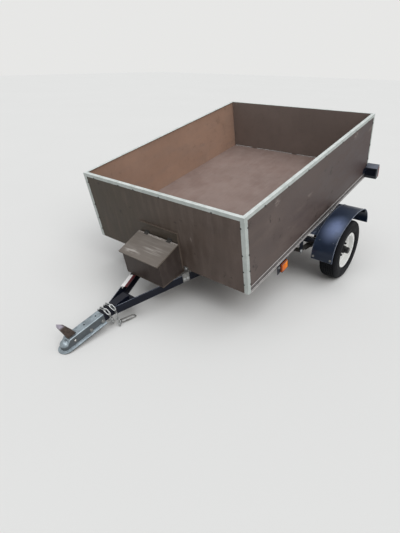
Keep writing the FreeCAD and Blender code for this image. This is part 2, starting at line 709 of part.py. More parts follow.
def rim():
    """Steel wheel: drop-centre rim with a dished disc, its outer side at positive offsets."""
    t, well, slope = RIM_SHEET, WELL_HALF, WELL_SLOPE
    outer_path = [(-RIM_HALF, FLANGE_RADIUS), (-RIM_HALF + t, FLANGE_RADIUS),
                  (-RIM_HALF + t, BEAD_RADIUS), (-well - slope, BEAD_RADIUS),
                  (-well, WELL_RADIUS + t), (well, WELL_RADIUS + t), (well + slope, BEAD_RADIUS),
                  (RIM_HALF - t, BEAD_RADIUS), (RIM_HALF - t, FLANGE_RADIUS),
                  (RIM_HALF, FLANGE_RADIUS)]
    inner_path = [(RIM_HALF, BEAD_RADIUS - t), (well + slope + t, BEAD_RADIUS - t),
                  (well + t, WELL_RADIUS), (-well - t, WELL_RADIUS),
                  (-well - slope - t, BEAD_RADIUS - t), (-RIM_HALF, BEAD_RADIUS - t)]
    ring = turned(outer_path + inner_path, WHEEL_Y)
    face, dish, run = DISC_FACE, DISH_RADIUS, DISH_RUN
    disc = turned([(-DISC / 2, WELL_RADIUS + 1), (DISC / 2, WELL_RADIUS + 1),
                   (face - DISC / 2, dish + run + DISC), (face + run / 2, dish + run / 2),
                   (face + DISC, dish - DISC / 2), (face + DISC, HUB_BORE), (face, HUB_BORE),
                   (face, dish), (face - 1, dish + DISC), (face - run / 2, dish + run)], WHEEL_Y)
    wheel = fused([ring, disc])
    for x, z in stud_places():
        wheel = wheel.cut(rod(Vector(x, WHEEL_Y, z), Vector(x, WHEEL_Y + face + 2 * DISC, z),
                              STUD + HUB_FIT))
    return wheel


def stud_places():
    turn = 2 * math.pi / STUD_COUNT
    return [(STUD_CIRCLE * math.cos(turn * (i + 0.5)), STUD_CIRCLE * math.sin(turn * (i + 0.5)))
            for i in range(STUD_COUNT)]


def hub():
    """Hub with its flange behind the disc, studs and nuts, and the cap in front."""
    inner = AXLE_END + AXLE - WHEEL_Y
    face = DISC_FACE
    nose = HUB_BORE - HUB_FIT
    body = turned([(inner, 0), (inner, HUB_BARREL), (-face, HUB_BARREL + DISC),
                   (-DISC, HUB_BARREL + 2 * DISC), (face - 3 * DISC, HUB_FLANGE),
                   (face, HUB_FLANGE), (face, nose), (face + HUB_SHOULDER, nose),
                   (face + HUB_SHOULDER, HUB_CAP), (HUB_CAP_REACH - NUT / 2, HUB_CAP),
                   (HUB_CAP_REACH, HUB_CAP - NUT / 2), (HUB_CAP_REACH, 0)], WHEEL_Y)
    studs = []
    for x, z in stud_places():
        studs.append(rod(Vector(x, WHEEL_Y + face - DISC, z),
                         Vector(x, WHEEL_Y + face + HUB_SHOULDER - DISC, z), STUD))
        studs.append(hex_nut(Vector(x, WHEEL_Y + face + DISC, z), NUT, NUT))
    bore_end = WHEEL_Y + HUB_CAP_REACH - SPINDLE_SHORT + DISC
    bore = rod(Vector(0, WHEEL_Y + inner, 0), Vector(0, bore_end, 0), SPINDLE + PIN_FIT)
    return fused([body] + studs).cut(bore)


def hex_nut(base, radius, height):
    corners = [Vector(base.x + radius * math.cos(math.pi / 3 * i), base.y,
                      base.z + radius * math.sin(math.pi / 3 * i)) for i in range(7)]
    return Part.Face(Part.makePolygon(corners)).extrude(Vector(0, height, 0))


def tyre():
    """Tyre section: beads on the rim's seats, bulged walls, flat tread with rounded shoulders."""
    half, wall = TYRE_WIDTH / 2, TYRE_WALL
    bead = BEAD_RADIUS + BEAD_FIT
    seat = RIM_HALF - RIM_SHEET - BEAD_FIT
    foot = FLANGE_RADIUS + TREAD_EDGE - RIM_SHEET
    tread = half - TREAD_INSET
    shoulder, bulge = TYRE_RADIUS - TYRE_SHOULDER, TYRE_RADIUS - TYRE_BULGE
    lining = TYRE_RADIUS - TREAD_DEPTH
    side = [(seat, bead), (seat, foot), (seat + TREAD_INSET, foot + 2 * RIM_SHEET), (half, bulge),
            (half - RIM_SHEET, shoulder), (tread, TYRE_RADIUS - TREAD_EDGE),
            (tread - TREAD_INSET, TYRE_RADIUS)]
    inside = [(seat - TREAD_INSET, bead), (seat - wall, foot + RIM_SHEET), (half - wall, bulge),
              (tread - wall / 2, lining)]
    outline = side + [(-y, r) for y, r in reversed(side)]
    outline += [(-y, r) for y, r in inside] + list(reversed(inside))
    return turned(outline, WHEEL_Y)


# Mudguards


def guard_profile(inset):
    """Wire of the guard's side view, drawn a given depth inside its outer skin."""
    crown_z = GUARD_TOP - GUARD_CROWN
    a = math.radians(GUARD_CROWN_ANGLE)
    crown, end = GUARD_CROWN - inset, GUARD_END - inset
    end_x = (GUARD_CROWN - GUARD_END) * math.sin(a)
    end_z = crown_z + (GUARD_CROWN - GUARD_END) * math.cos(a)

    def on_end(angle):
        return Vector(end_x + end * math.sin(angle), 0, end_z + end * math.cos(angle))

    def flip(point):
        return Vector(-point.x, 0, point.z)

    knee, middle, foot = on_end(a), on_end((a + math.pi / 2) / 2), on_end(math.pi / 2)
    top = Vector(0, 0, crown_z + crown)
    return [Part.Arc(flip(foot), flip(middle), flip(knee)).toShape(),
            Part.Arc(flip(knee), top, knee).toShape(),
            Part.Arc(knee, middle, foot).toShape()], flip(foot), foot


def mudguard():
    outer, outer_rear, outer_front = guard_profile(0)
    inner, inner_rear, inner_front = guard_profile(GUARD_SHEET)
    ends = [Part.makeLine(outer_front, inner_front), Part.makeLine(inner_rear, outer_rear)]
    wire = Part.Wire(Part.__sortEdges__(outer + inner + ends))
    sheet = Part.Face(wire).extrude(Vector(0, GUARD_OUTER_Y - GUARD_INNER_Y, 0))
    sheet.translate(Vector(0, GUARD_INNER_Y, 0))
    return sheet


def stay_top():
    """Height of the guard's underside above a stay."""
    a = math.radians(GUARD_CROWN_ANGLE)
    end_x = (GUARD_CROWN - GUARD_END) * math.sin(a)
    end_z = GUARD_TOP - GUARD_CROWN + (GUARD_CROWN - GUARD_END) * math.cos(a)
    radius = GUARD_END - GUARD_SHEET
    x = STAY_X + STAY_PLATE / 2
    return end_z + math.sqrt(radius ** 2 - (x - end_x) ** 2)


def mudguard_stays():
    stays = []
    top = stay_top() - STAY_FIT
    reach = GUARD_OUTER_Y - STAY_INSET
    rise = RAIL_Y + STAY_INSET
    bottom = min(top, RAIL_BOTTOM) - STAY_DEPTH
    for x in (-STAY_X, STAY_X):
        arm = prism_x([(RAIL_Y, RAIL_BOTTOM + STAY_DEPTH), (RAIL_Y, bottom),
                       (reach, top - STAY_DEPTH / 2), (reach, top), (rise, top),
                       (rise, RAIL_BOTTOM + STAY_DEPTH)],
                      x - STAY_PLATE / 2, x + STAY_PLATE / 2)
        stays += both_sides(arm)
    return stays


# Locker


def lid_drop(distance):
    return distance * math.tan(math.radians(LID_SLOPE))


def locker_box():
    rear = BED_FRONT + LOCKER_WALL
    front = BED_FRONT + LOCKER_REACH
    w = LOCKER_WALL
    under = LID_THICKNESS / math.cos(math.radians(LID_SLOPE)) + LID_FIT

    def lid_underside(x):
        return LID_REAR_Z - lid_drop(x - LID_HINGE_X) - under

    side = [(rear, RAIL_BOTTOM), (front, RAIL_BOTTOM), (front, lid_underside(front)),
            (rear, lid_underside(rear))]
    box = prism_y(side, -LOCKER_HALF, LOCKER_HALF)
    room = block(rear, front - w, w - LOCKER_HALF, LOCKER_HALF - w, RAIL_BOTTOM + w, BED_TOP)
    return box.cut(room)


def locker_back():
    return block(BED_FRONT, BED_FRONT + LOCKER_WALL, -LOCKER_HALF, LOCKER_HALF,
                 RAIL_BOTTOM, LOCKER_BACK_TOP)


def on_lid(shape):
    """Carry a shape drawn level, with the lid's hinge line at x = z = 0, to its place."""
    shape.rotate(Vector(0, 0, 0), Vector(0, 1, 0), LID_SLOPE)
    shape.translate(Vector(LID_HINGE_X, 0, LID_REAR_Z))
    return shape


def knuckle_places():
    """Middles of the lid hinge's knuckles, one pair of hinges."""
    return [-LOCKER_HALF * LID_HINGE_SPREAD, LOCKER_HALF * LID_HINGE_SPREAD]


def locker_lid():
    panel = block(LID_KNUCKLE, LID_LENGTH, -LID_HALF, LID_HALF, -LID_THICKNESS, 0)
    return on_lid(panel)


def locker_hinge_leaf():
    """Moving leaves on the lid, each with its middle knuckle."""
    leaves = []
    half = LID_KNUCKLE_LENGTH / 2
    middle = half * (1 - END_KNUCKLE) - KNUCKLE_FIT
    for y in knuckle_places():
        plate = block(LID_KNUCKLE, LID_KNUCKLE + LID_LEAF, y - half, y + half, 0, LID_LEAF_SHEET)
        web = block(0, LID_KNUCKLE, y - middle, y + middle, 0, LID_LEAF_SHEET)
        knuckle = rod(Vector(0, y - middle, 0), Vector(0, y + middle, 0), LID_KNUCKLE - KNUCKLE_FIT)
        bore = rod(Vector(0, y - half, 0), Vector(0, y + half, 0), LID_PIN + PIN_FIT)
        leaves.append(on_lid(fused([plate, web, knuckle]).cut(bore)))
    return leaves


def locker_hinge_fixed():
    """Fixed leaves on the locker's back, each with two knuckles and the pin."""
    hinges = []
    back = BED_FRONT + LOCKER_WALL
    half = LID_KNUCKLE_LENGTH / 2
    for y in knuckle_places():
        pieces = [block(back, back + LID_LEAF_SHEET, y - half, y + half, LID_REAR_Z,
                        LID_REAR_Z + LID_LEAF)]
        pieces.append(rod(Vector(LID_HINGE_X, y - half, LID_REAR_Z),
                          Vector(LID_HINGE_X, y + half, LID_REAR_Z), LID_PIN))
        for s in (-1, 1):
            ends = sorted((y + s * half, y + s * half * (1 - END_KNUCKLE)))
            pieces.append(rod(*[Vector(LID_HINGE_X, end, LID_REAR_Z) for end in ends],
                              LID_KNUCKLE - KNUCKLE_FIT))
            pieces.append(block(back, LID_HINGE_X, *ends, LID_REAR_Z,
                                LID_REAR_Z + LID_LEAF_SHEET))
        hinges.append(fused(pieces))
    return hinges


# Tailboard furniture


def hinge_middles():
    return (-HINGE_Y, 0.0, HINGE_Y)


def tailboard_hinges():
    """Fixed leaves on the sill with outer knuckles and the pin."""
    hinges = []
    third = HINGE_WIDTH / 3
    for y in hinge_middles():
        leaf = block(BED_REAR - HINGE_LEAF, BED_REAR, y - HINGE_WIDTH / 2, y + HINGE_WIDTH / 2,
                     BED_EDGE_HEIGHT + LEAF_ABOVE, HINGE_Z - HINGE_KNUCKLE)
        axis = [Vector(HINGE_X, y + s * HINGE_WIDTH / 2, HINGE_Z) for s in (-1, 1)]
        pin = rod(axis[0], axis[1], HINGE_PIN)
        knuckles = []
        for s in (-1, 1):
            start = Vector(HINGE_X, y + s * HINGE_WIDTH / 2, HINGE_Z)
            end = Vector(HINGE_X, y + s * (third / 2 + KNUCKLE_FIT), HINGE_Z)
            knuckles.append(rod(start, end, HINGE_KNUCKLE))
            y0, y1 = sorted((start.y, end.y))
            knuckles.append(block(HINGE_X - TRIM / 2, BED_REAR, y0, y1, HINGE_Z - HINGE_KNUCKLE,
                                  HINGE_Z - HINGE_KNUCKLE + HINGE_LEAF))
        hinges.append(fused([leaf, pin] + knuckles))
    return hinges


def tailboard_straps():
    """Moving straps up the tailboard, each with its middle knuckle."""
    straps = []
    third = HINGE_WIDTH / 3
    for y in hinge_middles():
        strap = block(BED_REAR - HINGE_LEAF, BED_REAR, y - third / 2, y + third / 2,
                      HINGE_Z + TAIL_GAP, HINGE_Z + STRAP_LENGTH)
        knuckle = rod(Vector(HINGE_X, y - third / 2, HINGE_Z), Vector(HINGE_X, y + third / 2, HINGE_Z),
                      HINGE_KNUCKLE)
        link = block(HINGE_X, BED_REAR, y - third / 2, y + third / 2,
                     HINGE_Z + HINGE_KNUCKLE - HINGE_LEAF, HINGE_Z + HINGE_KNUCKLE)
        bore = rod(Vector(HINGE_X, y - third, HINGE_Z), Vector(HINGE_X, y + third, HINGE_Z),
                   HINGE_PIN + PIN_FIT)
        straps.append(fused([strap, knuckle, link]).cut(bore))
    return straps


def tailboard_bolt():
    """Barrel bolt on the tailboard's corner, drawn back."""
    reach = INNER - TAIL_GAP
    x = BED_REAR - BARREL_OUT
    case = BARREL_RADIUS + BARREL_SHELL
    edge = reach - BARREL_INSET
    bolt = rod(Vector(x, reach - BARREL_LENGTH, BARREL_Z), Vector(x, reach - TRIM / 2, BARREL_Z),
               BARREL_RADIUS)
    plate = block(BED_REAR - HINGE_LEAF, BED_REAR, edge - BARREL_PLATE, edge,
                  BARREL_Z - BARREL_PLATE_HALF, BARREL_Z + BARREL_PLATE_HALF)
    middle = edge - BARREL_PLATE / 2
    barrel = block(x - case, BED_REAR, middle - BARREL_CASE / 2, middle + BARREL_CASE / 2,
                   BARREL_Z - case, BARREL_Z + case)
    return fused([bolt, plate, barrel])


def bolt_keeper():
    """Eye on the side board's end that takes the barrel bolt."""
    x = BED_REAR - BARREL_OUT
    case = BARREL_RADIUS + KEEPER_WALL
    eye = block(x - case + TRIM / 2, BED_REAR - TRIM, INNER + TRIM, HALF - TRIM, BARREL_Z - case,
                BARREL_Z + case)
    hole = rod(Vector(x, INNER, BARREL_Z), Vector(x, HALF, BARREL_Z), BARREL_RADIUS + TRIM / 2)
    return eye.cut(hole)


# Lamps and reflectors


def lamp_bracket():
    """Angle screwed to the side board, its outer leg behind the lamp."""
    low = BED_EDGE_HEIGHT + FOOT_HEIGHT + TRIM
    high = LAMP_Z + LAMP_HEIGHT - 2 * BRACKET
    flange = block(LAMP_X, LAMP_X + LAMP_FLANGE, HALF, HALF + BRACKET, low, high)
    plate = block(LAMP_X, LAMP_X + BRACKET, HALF, HALF + LAMP_WIDTH - 2 * BRACKET, low, high)
    return fused([flange, plate])


def lamp_outline(x0, x1, inset):
    inner = HALF + LAMP_STANDOFF
    return block(x0, x1, inner + inset, inner + LAMP_WIDTH - inset, LAMP_Z + inset,
                 LAMP_Z + LAMP_HEIGHT - inset)


def lamp_housing():
    return lamp_outline(LAMP_X - LAMP_DEPTH, LAMP_X, 0)


def lamp_lens():
    back = LAMP_X - LAMP_DEPTH
    return lamp_outline(back - LENS_DEPTH, back, 2)


def side_reflector():
    y = RAIL_Y + BRACKET
    z = REFLECTOR_Z
    half = REFLECTOR_LENGTH / 2
    return block(REFLECTOR_X - half, REFLECTOR_X + half, y, y + REFLECTOR_DEPTH, z,
                 z + REFLECTOR_HEIGHT)


def reflector_bracket():
    z = REFLECTOR_Z
    half = REFLECTOR_LENGTH / 2
    return block(REFLECTOR_X - half, REFLECTOR_X + half + REFLECTOR_TAIL, RAIL_Y, RAIL_Y + BRACKET,
                 z + 2 * BRACKET, RAIL_BOTTOM + RAIL_HEIGHT / 3)


# Safety chain


def oval_ring(length, width, wire, flats):
    """An oval ring of six-sided wire lying flat round the origin, its long way along x.

    Flats make up its round ends, and the wire turns one corner inward and one outward.
    """
    radius = width / 2
    straight = length / 2 - radius
    bends = [math.pi * (k + 0.5) / flats - math.pi / 2 for k in range(flats)]
    angles = [-math.pi / 2] + bends + [math.pi / 2] + [a + math.pi for a in bends]
    depths = [radius + straight * abs(math.cos(a)) for a in angles]
    loops = []
    for k in range(6):
        out, up = wire * math.cos(math.pi / 3 * k), wire * math.sin(math.pi / 3 * k)
        loops.append([crossing(angles[i - 1], depths[i - 1] + out, angles[i], depths[i] + out, up)
                      for i in range(len(angles))])
    return closed_solid(loops)


def crossing(angle, depth, other_angle, other_depth, z):
    """Where two lines meet, each given by its normal's angle and its depth from the origin."""
    spread = math.sin(other_angle - angle)
    x = (depth * math.sin(other_angle) - other_depth * math.sin(angle)) / spread
    y = (other_depth * math.cos(angle) - depth * math.cos(other_angle)) / spread
    return Vector(x, y, z)


def closed_solid(loops):
    """Solid with flat faces between each loop of points and the next, and round to the first."""
    faces = []
    for loop, after in zip(loops, loops[1:] + loops[:1]):
        for i in range(len(loop)):
            corners = [loop[i - 1], loop[i], after[i], after[i - 1], loop[i - 1]]
            faces.append(Part.Face(Part.makePolygon(corners)))
    solid = Part.makeSolid(Part.makeShell(faces))
    solid.fix(1e-6, 1e-6, 1e-6)
    if solid.Volume < 0:
        solid.reverse()
    return solid


def laid_along(shape, middle, direction, across):
    """Carry a shape drawn round the origin so that its x runs along, and its y across."""
    turn = FreeCAD.Rotation(direction, across, direction.cross(across), "XYZ")
    shape.Placement = FreeCAD.Placement(middle, turn)
    return shape


def on_ground(way):
    """Direction in the level drawing of a way given on the ground's own axes."""
    x, y, z = way
    sin, cos = math.sin(NOSE_DOWN), math.cos(NOSE_DOWN)
    return Vector(x * cos - z * sin, y, x * sin + z * cos).normalize()


def chain_spans():
    """First and last joint of each link: eight-sided turns round the tube, then the tail.

    Where a strand hangs straight down, the lower links take up the play.
    """
    reach, half = CHAIN_REACH, CHAIN_SIDE / 2
    low, lowest = -half - CHAIN_SIDE, -reach - CHAIN_SIDE
    turn = [(-reach, -half), (-reach, half), (-half, reach), (half, reach), (reach, half),
            (reach, -half), (reach, low), (half, lowest), (-half, lowest), (-reach, low)]
    spans = []
    for i in range(WOUND_COUNT):
        hang = LINK_PLAY - CHAIN_FIT if i % len(turn) >= len(turn) / 2 else 0
        ends = [turn[k % len(turn)] for k in (i, i + 1)]
        spans.append([Vector(CHAIN_X - CHAIN_STEP * k, y, TUBE_MIDDLE + z - hang)
                      for k, (y, z) in zip((i, i + 1), ends)])
    for way, _ in CHAIN_TAIL:
        way = on_ground(way)
        start, end = spans[-1]
        hold = end + (end - start).normalize() * LINK_END
        start = hold + way * (LINK_PLAY - 2 * CHAIN_FIT - LINK_END)
        spans.append([start, start + way * LINK_PITCH])
    return spans


def safety_chain():
    """Links by turns on edge and flat on the tube, each hooked through the one before."""
    forward = Vector(1, 0, 0)
    spans = chain_spans()
    acrosses = [forward if i % 2 else (end - start).cross(forward)
                for i, (start, end) in enumerate(spans[:WOUND_COUNT])]
    acrosses += [on_ground(across) for _, across in CHAIN_TAIL]
    links = []
    for i, ((start, end), across) in enumerate(zip(spans, acrosses)):
        flats = RING_FLAT_COUNT if i % 2 or i >= WOUND_COUNT else EDGE_FLAT_COUNT
        link = oval_ring(LINK_LENGTH, LINK_WIDTH, LINK_WIRE, flats)
        links.append(laid_along(link, (start + end) / 2, end - start, across))
    return links


def chain_staple():
    """Half link welded on the right side of the draw tube, which holds the first link."""
    first = chain_spans()[0][0]
    above = LINK_END - LINK_PLAY + CHAIN_FIT
    staple = oval_ring(LINK_LENGTH, LINK_WIDTH, LINK_WIRE, EDGE_FLAT_COUNT)
    middle = Vector(first.x, first.y + LINK_LENGTH / 2, first.z + above)
    laid_along(staple, middle, Vector(0, -1, 0), Vector(1, 0, 0))
    return staple.common(block(first.x - LINK_WIDTH, first.x + LINK_WIDTH, -BED_WIDTH,
                               -DRAW_TUBE / 2, TUBE_BOTTOM, TUBE_TOP))


def chain_hook():
    """Snap hook that lies on the ground, its eye round the last link's end and its gate outside."""
    start, end = chain_spans()[-1]
    way = on_ground(HOOK_WAY)
    hold = end + (end - start).normalize() * LINK_END
    eye = hold + way * (HOOK_WIDTH / 2 - HOOK_WIRE - LINK_WIRE - CHAIN_FIT)
    ring = oval_ring(HOOK_LENGTH, HOOK_WIDTH, HOOK_WIRE, RING_FLAT_COUNT)
    gate = prism_x([(HOOK_WIDTH / 2 + GATE_WIRE * math.cos(math.pi / 3 * k),
                     GATE_WIRE * math.sin(math.pi / 3 * k)) for k in range(6)],
                   -GATE_LENGTH / 2, GATE_LENGTH / 2)
    across = on_ground((0, 0, 1)).cross(way)
    return laid_along(fused([ring, gate]), eye + way * (HOOK_LENGTH - HOOK_WIDTH) / 2, way, -across)


# Setting down on the coupling


def parked(shape):
    shape = shape.copy()
    shape.rotate(Vector(0, 0, 0), Vector(0, 1, 0), math.degrees(NOSE_DOWN))
    shape.translate(Vector(0, 0, TYRE_RADIUS))
    return shape


def sub_parts():
    """Every node with its solid or list of solids, built level."""
    nodes = {
        "floor_board": floor_board(),
        "floor_bearers": floor_bearers(),
        "front_board": front_board(),
        "rear_sill": rear_sill(),
        "tailboard": tailboard(),
        "tailboard_hinges": tailboard_hinges(),
        "tailboard_straps": tailboard_straps(),
        "tailboard_bolts": both_sides(tailboard_bolt()),
        "bolt_keepers": both_sides(bolt_keeper()),
        "rim_cap_front": cap_front(),
        "rim_cap_tail": cap_tail(),
        "corner_angles": corner_angles(),
        "foot_strips": [strip for piece in foot_strip() for strip in both_sides(piece)],
        "locker_box": locker_box(),
        "locker_back": locker_back(),
        "locker_lid": locker_lid(),
        "locker_hinge_fixed": locker_hinge_fixed(),
        "locker_hinge_leaf": locker_hinge_leaf(),
        "cross_members": cross_members(),
        "draw_tube": draw_tube(),
        "leg_bracket": leg_bracket(),
        "drawbar_marker": drawbar_marker(),
        "coupling_body": coupling_body(),
        "coupling_latch": coupling_latch(),
        "coupling_bolts": coupling_bolts(),
        "safety_chain": safety_chain(),
        "chain_hook": chain_hook(),
        "axle_beam": axle_beam(),
        "spring_hangers": spring_hangers(),
        "axle_clamps": both_sides(axle_clamp()),
        "mudguard_stays": mudguard_stays(),
        "lamp_brackets": both_sides(lamp_bracket()),
        "lamp_housings": both_sides(lamp_housing()),
        "lamp_lenses": both_sides(lamp_lens()),
        "side_reflectors": both_sides(side_reflector()),
        "reflector_brackets": both_sides(reflector_bracket()),
    }
    handed = {
        "side_board": side_board(),
        "side_rail": side_rail(),
        "rim_cap": cap_side(),
        "drawbar_leg": drawbar_leg(),
        "leaf_spring": leaf_spring(),
        "hub": hub(),
        "rim": rim(),
        "tyre": tyre(),
        "mudguard": mudguard(),
    }
    for name, left in handed.items():
        nodes[name + "_left"] = left
        nodes[name + "_right"] = mirrored(left)
    return nodes


def as_shape(solids):
    return Part.makeCompound(solids) if isinstance(solids, list) else solids


def main():
    os.makedirs("parts", exist_ok=True)
    shapes = {name: parked(as_shape(solids)) for name, solids in sub_parts().items()}
    extent = Part.makeCompound(list(shapes.values())).optimalBoundingBox()
    middle = (extent.XMin + extent.XMax) / 2
    for name, shape in shapes.items():
        shape.translate(Vector(-middle, 0, 0))
        shape.exportStep("parts/" + name + ".step")
    print("nose down", math.degrees(NOSE_DOWN), "axle x", -middle, "nose x", NOSE_X)


main()
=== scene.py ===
import logging
import math
from dataclasses import asdict, dataclass
from enum import Enum
from typing import Any, Iterable, NamedTuple, Sequence

import bmesh
import bpy
from mathutils import Matrix, Vector


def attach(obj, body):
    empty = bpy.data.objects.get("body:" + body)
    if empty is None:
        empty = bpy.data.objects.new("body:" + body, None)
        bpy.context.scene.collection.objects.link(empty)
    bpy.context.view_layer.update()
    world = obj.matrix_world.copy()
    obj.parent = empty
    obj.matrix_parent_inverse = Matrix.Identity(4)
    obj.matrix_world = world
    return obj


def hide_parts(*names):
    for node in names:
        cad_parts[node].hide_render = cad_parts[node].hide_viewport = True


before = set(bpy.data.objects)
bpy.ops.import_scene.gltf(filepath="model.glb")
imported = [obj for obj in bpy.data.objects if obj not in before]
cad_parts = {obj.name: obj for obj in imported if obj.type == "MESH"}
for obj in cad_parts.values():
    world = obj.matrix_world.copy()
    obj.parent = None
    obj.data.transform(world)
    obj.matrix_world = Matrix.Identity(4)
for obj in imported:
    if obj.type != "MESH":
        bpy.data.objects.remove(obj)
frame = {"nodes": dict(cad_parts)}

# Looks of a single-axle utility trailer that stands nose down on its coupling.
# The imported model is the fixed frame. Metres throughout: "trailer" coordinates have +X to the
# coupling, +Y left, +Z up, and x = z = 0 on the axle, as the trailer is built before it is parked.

log = logging.getLogger("utility_trailer")
logging.basicConfig(level=logging.INFO, format="%(message)s")

Point = tuple[float, float, float]
Colour = tuple[float, float, float]
Span = tuple[float, float]
Row = tuple[float, ...]
Path = Sequence[Point]
Socket = bpy.types.NodeSocket
Material = bpy.types.Material
Mesh = bpy.types.Mesh
Object = bpy.types.Object

NOSE_DOWN = math.radians(11.23266)
AXLE_SHIFT = -0.639654
TYRE_RADIUS = 0.243
PARKED = Matrix.Translation((AXLE_SHIFT, 0, TYRE_RADIUS)) @ Matrix.Rotation(NOSE_DOWN, 4, "Y")

BED_FRONT = 1.104
BED_REAR = -0.856
BED_HALF = 0.740
BED_FOOT = 0.252
BED_TOP = 0.812
WALL = 0.012
FLOOR_TOP = 0.350
RAIL_FOOT = 0.223
WHEEL_Y = 0.8875
SHARP_ANGLE = math.radians(32.0)
SIDES = (-1, 1)
FORE, AFT, LEFT, UP, DOWN = (1, 0, 0), (-1, 0, 0), (0, 1, 0), (0, 0, 1), (0, 0, -1)


class Body(str, Enum):
    """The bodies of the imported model."""

    TRAILER = "trailer"
    WHEEL_LEFT = "wheel_left"
    WHEEL_RIGHT = "wheel_right"
    TAILBOARD = "tailboard"
    LOCKER_LID = "locker_lid"


class Plies(Enum):
    """Where a plywood piece shows its plies."""

    EDGES = "narrow faces of one board"
    FOOT = "lower edges of a box"


class Drift(str, Enum):
    """The way in which a board's colour drifts, in trailer coordinates."""

    ALONG = "X"
    ACROSS = "Y"


class Graph:
    """Short ways to add and join nodes of a shader or geometry tree."""

    def __init__(self, tree: bpy.types.NodeTree) -> None:
        """Take over a tree."""
        self.tree = tree

    def fill(self, node: bpy.types.Node, inputs: dict[Any, Any]) -> None:
        """Set or join a node's inputs.

        Args:
            node: The node.
            inputs: Input name or index to a value, or to the output that feeds it.
        """
        for key, value in inputs.items():
            if isinstance(value, Socket):
                self.tree.links.new(value, node.inputs[key])
            else:
                node.inputs[key].default_value = value

    def add(self, kind: str, inputs: dict[Any, Any] | None = None,
            **settings: Any) -> bpy.types.Node:
        """Add a node, then set or join its inputs.

        Args:
            kind: The node's type name.
            inputs: What goes into it, as for fill.
            settings: Properties of the node, such as its operation.

        Returns:
            The new node.
        """
        node = self.tree.nodes.new(kind)
        for name, value in settings.items():
            setattr(node, name, value)
        self.fill(node, inputs or {})
        return node

    def out(self, kind: str, inputs: dict[Any, Any] | None = None, **settings: Any) -> Socket:
        """Add a node and return its first output."""
        return self.add(kind, inputs, **settings).outputs[0]

    def math(self, operation: str, *values: Any) -> Socket:
        """Return the result of a Math node on the given values."""
        return self.out("ShaderNodeMath", dict(enumerate(values)), operation=operation)

    def times(self, product: Any, *factors: Any) -> Socket:
        """Return the product of several values."""
        for factor in factors:
            product = self.math("MULTIPLY", product, factor)
        return product

    def vector(self, operation: str, *values: Any) -> Socket:
        """Return the result of a Vector Math node on the given values."""
        node = self.add("ShaderNodeVectorMath", dict(enumerate(values)), operation=operation)
        return node.outputs["Value" if operation in ("DOT_PRODUCT", "LENGTH") else 0]

    def reach(self, away: Socket, size: Any) -> Socket:
        """Return how long a vector is, as a share of a size along each axis."""
        return self.vector("LENGTH", self.vector("DIVIDE", away, size))

    def ramp(self, value: Any, low: Any, high: Any, to_low: float = 0.0,
             to_high: float = 1.0) -> Socket:
        """Return a value mapped smoothly from one range to another."""
        return self.out("ShaderNodeMapRange", {"Value": value, "From Min": low, "From Max": high,
                                               "To Min": to_low, "To Max": to_high},
                        interpolation_type="SMOOTHSTEP")

    def mix(self, factor: Any, first: Any, second: Any) -> Socket:
        """Return a colour mixed from two."""
        inputs = {0: factor, 6: rgba(first), 7: rgba(second)}
        return self.add("ShaderNodeMix", inputs, data_type="RGBA").outputs[2]

    def xyz(self, **parts: Any) -> Socket:
        """Return a vector made of parts named X, Y and Z."""
        return self.out("ShaderNodeCombineXYZ", parts)

    def random(self, low: float, high: float, seed: Any) -> Socket:
        """Return a random number for each point."""
        return self.add("FunctionNodeRandomValue", {2: low, 3: high, "Seed": seed},
                        data_type="FLOAT").outputs[1]

    def join(self, *parts: Socket) -> Socket:
        """Join several geometries.

        Args:
            parts: The geometries, in order.

        Returns:
            All of them as one.
        """
        node = self.add("GeometryNodeJoinGeometry")
        for part in parts:
            self.fill(node, {0: part})
        return node.outputs[0]

    def repeat(self, points: Socket, instance: Socket, **inputs: Any) -> Socket:
        """Return an instance set on points, as real geometry."""
        placed = self.out("GeometryNodeInstanceOnPoints", {"Points": points, "Instance": instance,
                                                           **inputs})
        return self.out("GeometryNodeRealizeInstances", {0: placed})

    def level(self, kind: str, shift: Point) -> Socket:
        """Return a texture coordinate turned back from the parked pose."""
        where = self.add("ShaderNodeTexCoord").outputs[kind]
        return self.out("ShaderNodeMapping", {"Vector": where, "Location": shift,
                                              "Rotation": (0, NOSE_DOWN, 0)}, vector_type="TEXTURE")

    def place(self, stretch: Any = None) -> Socket:
        """Return trailer coordinates of the shaded point, multiplied by a stretch, if any."""
        level = self.level("Object", (AXLE_SHIFT, 0, TYRE_RADIUS))
        return level if stretch is None else self.vector("MULTIPLY", level, stretch)

    def facing(self) -> Socket:
        """Return the surface's normal in trailer coordinates."""
        return self.level("Normal", (0, 0, 0))

    def axis(self, name: str, vector: Socket | None = None) -> Socket:
        """Return one part of a vector, by default of the shaded point's place."""
        vector = self.place() if vector is None else vector
        return self.add("ShaderNodeSeparateXYZ", {0: vector}).outputs[name]

    def noise(self, vector: Any, scale: Any, detail: float = 3.0, seed: Any = 0.0,
              roughness: float = 0.55) -> Socket:
        """Return a noise value that differs with its seed."""
        return self.out("ShaderNodeTexNoise", {"Vector": vector, "W": seed, "Scale": scale,
                                               "Detail": detail, "Roughness": roughness},
                        noise_dimensions="4D")


def rgba(colour: Any) -> Any:
    """Return a colour with an alpha, or an output as it is."""
    return colour if isinstance(colour, Socket) else (*colour, 1.0)


def tint(colour: Colour, share: float) -> Colour:
    """Return a colour made darker, or lighter up to white."""
    return tuple(min(1.0, share * c) for c in colour)


